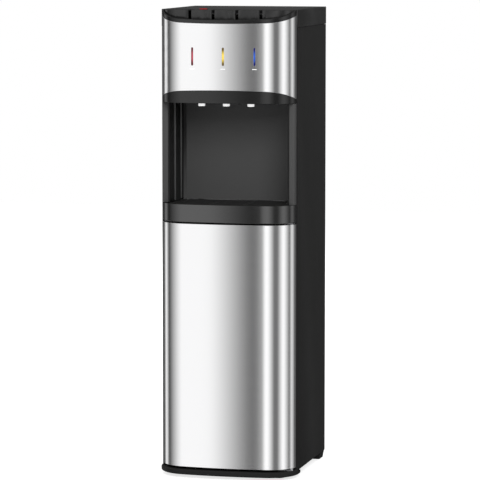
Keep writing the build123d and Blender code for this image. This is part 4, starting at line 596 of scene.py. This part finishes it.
def length_at(x):
    """Signed length along the front where it stands at x."""
    side = 1 if x >= 0 else -1
    for index, point in enumerate(front_path):
        if point[0] >= abs(x):
            return index * STEP * side
    return front_length * side


print("the round corner starts", round(length_at(CORNER_X), 4), "m from the middle")

# %% [markdown]
# ## Cut a strip flat, then bend it
# A sheet-metal shop cuts the strip and its slots flat and bends it afterwards.  The same order works here.
# Cutting the slots with a Boolean after the bend would leave long thin faces that spoil the reflections.
# The flat outline and its slots are filled with even triangles by a constrained Delaunay triangulation, and
# then each point is set on the curve.

# %% Draw the slots
SLOT_GAP = 0.15 * MM  # all round each light


def slot_loop(middle, height, width, centre_z, sides=8):
    """A stadium-shaped loop in the flat strip."""
    radius, reach = width / 2, (height - width) / 2
    loop = []
    for end in (1, -1):
        for index in range(sides + 1):
            turn = pi * index / sides + (0 if end > 0 else pi)
            loop.append((middle + radius * cos(turn), centre_z + end * reach + radius * sin(turn)))
    return loop


light_low, light_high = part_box("light_room")
LIGHTS = ("light_hot", "light_room", "light_cold")
LIGHT_XS = [sum(corner.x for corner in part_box(name)) / 2 for name in LIGHTS]
slot_height = light_high.z - light_low.z + 2 * SLOT_GAP
slot_width = light_high.x - light_low.x + 2 * SLOT_GAP
slot_z = (light_high.z + light_low.z) / 2
slot_loops = [slot_loop(length_at(x), slot_height, slot_width, slot_z) for x in LIGHT_XS]
print("slots:", len(slot_loops), "of", round(slot_width, 4), "by", round(slot_height, 4), "m")

# %% Fill a strip and bend it
EDGE_STEP = 2.5 * MM  # between the points along the strip
ROW_STEP = 30 * MM  # between the points up and down
END_GAP = 0.1 * MM  # to the side panel at each end
TRIANGLES, TOLERANCE = 0, 1e-7  # how the triangulation fills its outline, and how near points are one


def inside(loop, x, y):
    """Whether a point is inside a loop, by counting crossings."""
    crossed = False
    for (x1, y1), (x2, y2) in zip(loop, loop[1:] + loop[:1]):
        if (y1 > y) != (y2 > y) and x < x1 + (y - y1) * (x2 - x1) / (y2 - y1):
            crossed = not crossed
    return crossed


def extent(loop):
    """Least and greatest x, then least and greatest y of a loop."""
    return [pick(values) for values in zip(*loop) for pick in (min, max)]


def bent_skin(name, low, high, slots=()):
    """A steel strip between two heights, which are functions of y, with slots given as loops."""
    half = front_length - END_GAP
    count = int(2 * half / EDGE_STEP)
    stations = [half * (2 * index / count - 1) for index in range(count + 1)]
    lower = [(length, low(on_front(length)[1])) for length in stations]
    upper = [(length, high(on_front(length)[1])) for length in reversed(stations)]
    points, edges = [], []
    for loop in [lower + upper, *slots]:
        start = len(points)
        points += loop
        edges += [(start + index, start + (index + 1) % len(loop)) for index in range(len(loop))]
    slot_boxes = [extent(loop) for loop in slots]
    for length in stations[1:-1]:
        y = on_front(length)[1]
        rows = max(2, round((high(y) - low(y)) / ROW_STEP))
        for row in range(1, rows):
            z = low(y) + (high(y) - low(y)) * row / rows
            if not any(a - MM < length < b + MM and c - MM < z < d + MM for a, b, c, d in slot_boxes):
                points.append((length, z))
    places = [Vector(point) for point in points]
    flat, _, cells, *_ = delaunay_2d_cdt(places, edges, [], TRIANGLES, TOLERANCE)
    kept = []
    for cell in cells:
        length = sum(flat[index].x for index in cell) / 3
        z = sum(flat[index].y for index in cell) / 3
        y = on_front(length)[1]
        in_slot = any(a < length < b and c < z < d and inside(loop, length, z)
                      for loop, (a, b, c, d) in zip(slots, slot_boxes))
        if low(y) < z < high(y) and not in_slot:
            kept.append(cell)
    return mesh_object(name, [(*on_front(point.x)[:2], point.y) for point in flat], kept)


print("length of a strip:", round(2 * (front_length - END_GAP), 4), "m")

# %% Bend the door skin and the upper skin
STEEL_LOW, LOW_SLOPE = 864 * MM, -0.36  # edges of the upper skin at the crown, and how they run back
STEEL_HIGH, HIGH_SLOPE = 1010 * MM, 0.33
door_steel = bent_skin("door_steel", lambda y: skin_low.z, lambda y: skin_high.z)
head_steel = bent_skin("head_steel", lambda y: STEEL_LOW + LOW_SLOPE * (y - FRONT_Y),
                       lambda y: STEEL_HIGH + HIGH_SLOPE * (y - FRONT_Y), slot_loops)
for piece in (door_steel, head_steel):
    print(piece.name, len(piece.data.polygons), "triangles")

# %% [markdown]
# ## Thickness, edges and normals
# A sheet has a thickness and slightly rounded edges, which modifiers give it.  Its faces are still flat, and
# a mirror shows every one of them.  More faces would only hide that, so the shading normals are set to the
# exact direction of the bend instead, and the steel mirrors like one smooth sheet.

# %% Give the skins their thickness
SKIN_EDGE, SKIN_EDGE_ANGLE = 0.3 * MM, 50  # width of the rounded edges, and the degrees that make an edge


def applied(piece):
    """Turns a piece's modifiers into plain mesh and removes them."""
    evaluated = piece.evaluated_get(bpy.context.evaluated_depsgraph_get())
    mesh = bpy.data.meshes.new_from_object(evaluated)
    piece.modifiers.clear()
    piece.data = mesh
    return mesh


def round_edges(piece, width, angle):
    """A narrow bevel on every edge that is sharper than an angle in degrees."""
    edge = piece.modifiers.new("edge", "BEVEL")
    edge.width, edge.segments, edge.limit_method, edge.angle_limit = width, 2, "ANGLE", radians(angle)
    edge.harden_normals = True


for piece in (door_steel, head_steel):
    sheet = piece.modifiers.new("thickness", "SOLIDIFY")
    sheet.thickness, sheet.offset = SKIN, -1
    round_edges(piece, SKIN_EDGE, SKIN_EDGE_ANGLE)
    applied(piece).shade_smooth()
    print(piece.name, len(piece.data.polygons), "faces")

# %% Give them the exact normals of the bend
LYING_FACE = 0.1  # faces that tilt up or down more than this aren't part of the bend
FACING = 0.97  # how well a face has to agree with the bend


def ease_normals(mesh):
    """Gives whatever lies in the bowed front the exact normals of the bend."""
    normals = [corner.vector.copy() for corner in mesh.corner_normals]
    for face in mesh.polygons:
        if abs(face.normal.z) > LYING_FACE:
            continue
        for loop in face.loop_indices:
            place = mesh.vertices[mesh.loops[loop].vertex_index].co
            _, y, exact = on_front(length_at(place.x))
            side = face.normal.dot(exact)
            reach = 2 * SKIN + abs(exact.x) * 2 * MM  # wider where the front runs back
            if abs(side) > FACING and abs(place.y - y) < reach:
                normals[loop] = exact * (1 if side > 0 else -1)
    mesh.normals_split_custom_set(normals)


for piece, node, body in ((door_steel, "door_skin", "door"), (head_steel, "upper_front_skin", "cabinet")):
    ease_normals(piece.data)
    piece.data.materials.clear()
    piece.data.materials.append(materials["brushed_steel"])
    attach(piece, body)
    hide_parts(node)
    print(piece.name, "rides on the", body)

# %% [markdown]
# ## Softened edges
# No moulded or folded edge is truly sharp, and the thin highlight along it tells the eye so.  A shader can
# fake that, but the mesh itself would stay sharp.  The frame's own meshes stay as they are, so the pieces
# that are looked at most are copied, their loose triangles merged and flat areas joined, and every sharp
# edge gets a narrow round.

# %% Copy, merge and round
body_of = {name: body for body, names in frame["record"]["behaviour"]["bodies"].items() for name in names}
EDGE_ROUNDS = {  # node: radius of its edges in millimetres
    "drip_tray": 0.5, "head_frame": 0.4, "bay_column_left": 0.6, "bay_column_right": 0.6, "top_cover": 0.6,
    "side_panel_left": 0.35, "side_panel_right": 0.35, "key_hot": 0.6, "key_room": 0.6, "key_cold": 0.6,
    "switch_bezel": 0.5, "control_box": 0.6, "bottle_plate": 0.4,
}
ROUNDED_ANGLE = 40  # degrees; sharper edges get a round
SMOOTH_ANGLE = 32  # degrees; sharper edges stay sharp in the shading
MERGE_DISTANCE = 0.01 * MM  # nearer points become one
FLAT_ANGLE = 0.2  # degrees; flatter edges between two faces go


def merged_copy(name):
    """A copy of a frame piece with its loose triangles merged and its flat areas joined."""
    shape = bmesh.new()
    shape.from_mesh(nodes[name].data)
    bmesh.ops.remove_doubles(shape, verts=shape.verts, dist=MERGE_DISTANCE)
    bmesh.ops.dissolve_limit(shape, angle_limit=radians(FLAT_ANGLE), verts=shape.verts, edges=shape.edges)
    mesh = bpy.data.meshes.new(name + "_rounded")
    shape.to_mesh(mesh)
    shape.free()
    piece = bpy.data.objects.new(name + "_rounded", mesh)
    bpy.context.scene.collection.objects.link(piece)
    return piece


def smooth_up_to(angle, mesh):
    """Smooth shading that stops at edges sharper than an angle in degrees."""
    mesh.shade_smooth()
    mesh.set_sharp_from_angle(angle=radians(angle))


def stand_in(piece, name):
    """Gives a copy the finish and the body of the frame piece that it stands for, and hides that piece."""
    piece.data.materials.clear()
    piece.data.materials.append(finish_of[name])
    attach(piece, body_of[name])
    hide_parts(name)


for name, width in EDGE_ROUNDS.items():
    piece = merged_copy(name)
    round_edges(piece, width * MM, ROUNDED_ANGLE)
    mesh = applied(piece)
    smooth_up_to(SMOOTH_ANGLE, mesh)
    if name in ("drip_tray", "head_frame"):
        ease_normals(mesh)
    stand_in(piece, name)
    print(name, "faces:", len(mesh.polygons))

# %% [markdown]
# ## The walls of the bay
# The back wall of the bay has a matt grey finish.  Its side walls are a satin black that is painted shade:
# they stand for walls that get little light because they face sideways.  The wall could be cut in two pieces
# with a finish each, but it is one moulding.  So one material does both: a mask from the depth in the bay
# mixes the two.

# %% Grey back wall, side walls in painted shade
# The side walls' near-black is painted shade, for walls that face sideways in the bay; the back wall's grey
# is its own colour.
BACK_GREY, SIDE_PAINTED_SHADE = grey(0.066), grey(0.004)
BACK_ROUGHNESS, SIDE_ROUGHNESS = 0.65, 0.30
BACK_STARTS, BACK_FULL = 7 * MM, 3.5 * MM  # distance from the liner's rear face
liner_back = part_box("bay_liner")[1].y
tree, shader = moulded("bay_walls_painted_shade", SIDE_PAINTED_SHADE, SIDE_ROUGHNESS, gleam=0.35, depth=0.004, dust=0.0)
at_back = rising(tree, object_axis(tree, "Y"), liner_back - BACK_STARTS, liner_back - BACK_FULL)
side_shade_color = shader.inputs["Base Color"].links[0].from_socket
tree.links.new(blended(tree, at_back, side_shade_color, BACK_GREY), shader.inputs["Base Color"])
duller = calculate(tree, "MULTIPLY_ADD", at_back, BACK_ROUGHNESS - SIDE_ROUGHNESS, SIDE_ROUGHNESS)
tree.links.new(duller, shader.inputs["Roughness"])
finish_of["bay_liner"] = materials["bay_walls_painted_shade"]
print("back wall grey", BACK_GREY[0], "side walls", SIDE_PAINTED_SHADE[0])

# %% [markdown]
# ## The corners of the bay
# The real liner has tight corners, and its flat back wall runs almost to the side walls.  The frame's liner
# has wide corners.  A new one could be drawn, but the rest of it is right as it is.  So a copy gets its
# corner arcs drawn in: each point on an arc keeps its direction from the arc's centre and moves with it into
# the corner.

# %% Draw in the corner arcs
WALL = 2.5 * MM
WIDE_CORNER = 40 * MM
TIGHT_CORNER = 10 * MM
ARC_SLACK, ARC_DEPTH = 0.05 * MM, 0.5 * MM  # how far beside and inside an arc a point still counts as on it
wall_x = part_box("bay_liner")[1].x - WALL
corner_centre = Vector((wall_x - WIDE_CORNER, liner_back - WALL - WIDE_CORNER))
drawn_in = WIDE_CORNER - TIGHT_CORNER
liner = merged_copy("bay_liner")
moved = 0
for vertex in liner.data.vertices:
    from_centre = Vector((abs(vertex.co.x), vertex.co.y)) - corner_centre
    if min(from_centre) > -ARC_SLACK and from_centre.length > WIDE_CORNER - ARC_DEPTH:
        from_centre *= 1 - drawn_in / from_centre.length
        place = corner_centre + Vector((drawn_in, drawn_in)) + from_centre
        vertex.co.x = place.x if vertex.co.x > 0 else -place.x
        vertex.co.y = place.y
        moved += 1
smooth_up_to(SMOOTH_ANGLE, liner.data)
flatter = liner.modifiers.new("flatter", "WEIGHTED_NORMAL")
flatter.keep_sharp = True
applied(liner)
stand_in(liner, "bay_liner")
print("points moved:", moved)

# %% [markdown]
# ## Marks under the lights
# A short printed dash stands under each light.  A mask in the steel's material could draw it, but then it
# would be no piece of its own.  It's laid on the steel as a thin raised patch that follows the bow, because
# a print is a film of ink on top of the metal.

# %% Print the dashes
MARK_WIDTH, MARK_HEIGHT, MARK_FILM = 10 * MM, 1.0 * MM, 0.12 * MM
MARK_DROP = 7.5 * MM  # below the foot of the light
MARK_CELLS = 6
MARK_PROFILE = ((0, 0.5), (MARK_FILM, 0.4), (MARK_FILM, -0.4), (0, -0.5))  # lift, share of the height


def grid_faces(start, rows, columns, closed=False):
    """Faces between rows of points that are numbered from start; closed rows meet their own beginning."""
    faces = []
    for first in range(start, start + (rows - 1) * columns, columns):
        for column in range(columns if closed else columns - 1):
            after = (column + 1) % columns
            second = first + columns
            faces.append((first + column, first + after, second + after, second + column))
    return faces


mark_z = light_low.z - MARK_DROP
vertices, faces = [], []
for x in LIGHT_XS:
    start = len(vertices)
    for index in range(MARK_CELLS + 1):
        plan_x, plan_y, out = on_front(length_at(x) + MARK_WIDTH * (index / MARK_CELLS - 0.5))
        for lift, share in MARK_PROFILE:
            vertices.append((plan_x + out.x * lift, plan_y + out.y * lift, mark_z + share * MARK_HEIGHT))
    row = len(MARK_PROFILE)
    faces += grid_faces(start, MARK_CELLS + 1, row)
    faces.append(tuple(reversed(range(start, start + row))))
    faces.append(tuple(range(start + row * MARK_CELLS, start + row * (MARK_CELLS + 1))))
light_marks = mesh_object("light_marks", vertices, faces)
# The marks take the white plastic finish, and with it that finish's glow of painted light.
light_marks.data.materials.append(materials["white_plastic"])
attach(light_marks, "cabinet")
print("marks:", len(LIGHT_XS))

# %% [markdown]
# ## Ribs in the bay
# The side walls of the bay carry two upright ribs each.  They are half round, so one line of each always
# finds a soft box to mirror, and that is why they show as thin bright lines in the dark wall.  Half a
# cylinder from Blender's own shapes would need cutting, so a half circle of points is drawn up instead.

# %% Raise the ribs
RIB_RADIUS = 2.8 * MM
RIB_SUNK = 0.2 * MM  # how deep its flat side is let into the wall
RIB_FOOT_GAP, RIB_HEAD_GAP = 1.5 * MM, 0.5 * MM  # clear of the tray that slides below, and of the head
RIB_SIDES = 10
RIB_YS = (-79 * MM, -27 * MM)
rib_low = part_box("drip_tray")[1].z + RIB_FOOT_GAP
rib_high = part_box("head_frame")[0].z - RIB_HEAD_GAP
vertices, faces = [], []
for rib_y in RIB_YS:
    for side in (1, -1):
        start = len(vertices)
        for z in (rib_low, rib_high):
            for index in range(RIB_SIDES + 1):
                turn = pi * index / RIB_SIDES
                x = wall_x + RIB_SUNK - RIB_RADIUS * sin(turn)
                vertices.append((side * x, rib_y - RIB_RADIUS * cos(turn), z))
        row = RIB_SIDES + 1
        faces += grid_faces(start, 2, row)
        faces.append(tuple(range(start, start + row)))
        faces.append(tuple(reversed(range(start + row, start + 2 * row))))
bay_ribs = mesh_object("bay_ribs", vertices, faces)
shape = bmesh.new()
shape.from_mesh(bay_ribs.data)
bmesh.ops.recalc_face_normals(shape, faces=shape.faces)  # the mirrored ribs came out inside out
shape.to_mesh(bay_ribs.data)
shape.free()
smooth_up_to(SMOOTH_ANGLE, bay_ribs.data)
bay_ribs.data.materials.append(materials["bay_plastic"])
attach(bay_ribs, "cabinet")
print("ribs:", 2 * len(RIB_YS))

# %% [markdown]
# ## The probe's hose
# Behind the bottle a milky hose runs in clips from the probe up to the deck, in one upright plane.  A curve
# with a round section would do, but the line is as simple as can be: straight runs and two half turns.  So
# rings are set square to that line and joined, which also says exactly where each end lies.

# %% The line of the hose
HOSE_RADIUS = 4.5 * MM
HOSE_TURN = 28 * MM
TURN_STEPS = 24
HIGH_TURN_Z = 532.7 * MM  # centre of the upper half turn
STUB_LENGTH, STUB_GAP = 10 * MM, 0.3 * MM  # the probe's stub in the hose, and the gap under the hose's end
hose_low, hose_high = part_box("probe_hose")
hose_y = (hose_low.y + hose_high.y) / 2
low_turn_z = hose_low.z + HOSE_RADIUS + HOSE_TURN
first_x = hose_high.x - HOSE_RADIUS
second_x = first_x - 2 * HOSE_TURN
hose_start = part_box("bottle_probe")[1].z - STUB_LENGTH + STUB_GAP
route = [(first_x, hose_start, 0.0), (first_x, HIGH_TURN_Z, 0.0)]  # x, z, slope of the ring
turns = [pi * index / TURN_STEPS for index in range(TURN_STEPS + 1)]
for turn in turns[1:]:
    route.append((first_x + HOSE_TURN * (cos(turn) - 1), HIGH_TURN_Z + HOSE_TURN * sin(turn), turn))
for turn in turns:
    route.append((second_x + HOSE_TURN * (cos(turn) - 1), low_turn_z - HOSE_TURN * sin(turn), pi - turn))
route.append((second_x - 2 * HOSE_TURN, hose_high.z, 0.0))
print("places on the line:", len(route))

# %% Rings along the line
HOSE_SIDES = 20
vertices = []
for x, z, turn in route:
    for index in range(HOSE_SIDES):
        around = 2 * pi * index / HOSE_SIDES
        across = HOSE_RADIUS * cos(around)
        vertices.append((x + across * cos(turn), hose_y + HOSE_RADIUS * sin(around), z + across * sin(turn)))
faces = grid_faces(0, len(route), HOSE_SIDES, closed=True)
faces.append(tuple(reversed(range(HOSE_SIDES))))
faces.append(tuple(range(len(vertices) - HOSE_SIDES, len(vertices))))
smooth_hose = mesh_object("smooth_hose", vertices, faces)
smooth_up_to(SMOOTH_ANGLE, smooth_hose.data)
smooth_hose.data.materials.append(materials["hose"])
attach(smooth_hose, "cabinet")
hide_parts("probe_hose")
print("hose faces:", len(faces))

# %% [markdown]
# ## Louvre hoods
# The slots in the rear panel are pressed, so the metal above each one stands out as a small hood: a quarter
# round that dies away at both ends.  It could be bump on the panel, but it stands out by several millimetres
# and is seen from the side.  One hood is drawn for the top slot of each group.

# %% One hood for each group
HOOD_LENGTH, HOOD_REACH, HOOD_HEIGHT, HOOD_METAL = 100 * MM, 4.2 * MM, 5.0 * MM, 0.8 * MM
HOOD_OVERLAP = 1.5 * MM  # how far its lip hangs below the middle of the slot
HOOD_FULLNESS = 6  # power; the higher it is, the nearer to its ends a hood stays full
HOOD_CELLS, HOOD_BENDS = 10, 5
HOOD_SMOOTH_ANGLE = 40
LOUVRE_ROWS, LOUVRE_PITCH = 7, 11 * MM
LOUVRE_GROUPS = [(-62, 626.2), (62, 626.2), (-62, 714.2), (62, 714.2), (62, 938.2)]  # centre x and z in mm
rear_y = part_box("rear_panel")[1].y
vertices, faces = [], []
for group_x, group_z in LOUVRE_GROUPS:
    top_slot_z = group_z * MM + (LOUVRE_ROWS - 1) / 2 * LOUVRE_PITCH
    faces += grid_faces(len(vertices), HOOD_CELLS + 1, HOOD_BENDS + 1)
    for along in range(HOOD_CELLS + 1):
        share = 2 * along / HOOD_CELLS - 1
        swell = sqrt(max(0.0, 1 - share**HOOD_FULLNESS))
        for bend in range(HOOD_BENDS + 1):
            turn = pi / 2 * bend / HOOD_BENDS
            vertices.append((group_x * MM + share * HOOD_LENGTH / 2, rear_y + HOOD_REACH * sin(turn) * swell,
                             top_slot_z - HOOD_OVERLAP + HOOD_HEIGHT * cos(turn)))
hoods = mesh_object("louvre_hoods", vertices, faces)
print("hoods in the top rows:", len(LOUVRE_GROUPS))

# %% [markdown]
# ## Repeat them down the panel
# The hoods repeat in rows, which is work for Geometry Nodes: the mesh that goes in holds the top hood of each
# group, and the tree sets it again and again down a line.  Copying the faces in a loop would give the same
# mesh, but here the number of rows and their pitch stay inputs with names.

# %% The tree for the rows
louvre_tree = bpy.data.node_groups.new("louvre_rows", "GeometryNodeTree")
interface, links = louvre_tree.interface, louvre_tree.links
interface.new_socket("Geometry", in_out="INPUT", socket_type="NodeSocketGeometry")
rows_socket = interface.new_socket("Rows", in_out="INPUT", socket_type="NodeSocketInt")
pitch_socket = interface.new_socket("Pitch", in_out="INPUT", socket_type="NodeSocketFloat")
finish_socket = interface.new_socket("Finish", in_out="INPUT", socket_type="NodeSocketMaterial")
interface.new_socket("Geometry", in_out="OUTPUT", socket_type="NodeSocketGeometry")
source, target = louvre_tree.nodes.new("NodeGroupInput"), louvre_tree.nodes.new("NodeGroupOutput")
offset = louvre_tree.nodes.new("ShaderNodeCombineXYZ")
links.new(calculate(louvre_tree, "MULTIPLY", source.outputs["Pitch"], -1.0), offset.inputs["Z"])
line = louvre_tree.nodes.new("GeometryNodeMeshLine")
links.new(source.outputs["Rows"], line.inputs["Count"])
links.new(offset.outputs[0], line.inputs["Offset"])
instances = louvre_tree.nodes.new("GeometryNodeInstanceOnPoints")
links.new(line.outputs[0], instances.inputs["Points"])
links.new(source.outputs["Geometry"], instances.inputs["Instance"])
realized = louvre_tree.nodes.new("GeometryNodeRealizeInstances")
links.new(instances.outputs[0], realized.inputs[0])
finish = louvre_tree.nodes.new("GeometryNodeSetMaterial")
links.new(realized.outputs[0], finish.inputs["Geometry"])
links.new(source.outputs["Finish"], finish.inputs["Material"])
links.new(finish.outputs[0], target.inputs[0])
print("louvre_rows:", len(louvre_tree.nodes), "nodes")

# %% Press the hoods
repeat = hoods.modifiers.new("rows", "NODES")
repeat.node_group = louvre_tree
repeat[rows_socket.identifier] = LOUVRE_ROWS
repeat[pitch_socket.identifier] = LOUVRE_PITCH
repeat[finish_socket.identifier] = materials["black_paint"]
metal = hoods.modifiers.new("metal", "SOLIDIFY")
metal.thickness, metal.offset = HOOD_METAL, -1
smooth_up_to(HOOD_SMOOTH_ANGLE, applied(hoods))
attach(hoods, "cabinet")
print("hoods:", LOUVRE_ROWS * len(LOUVRE_GROUPS), "faces:", len(hoods.data.polygons))
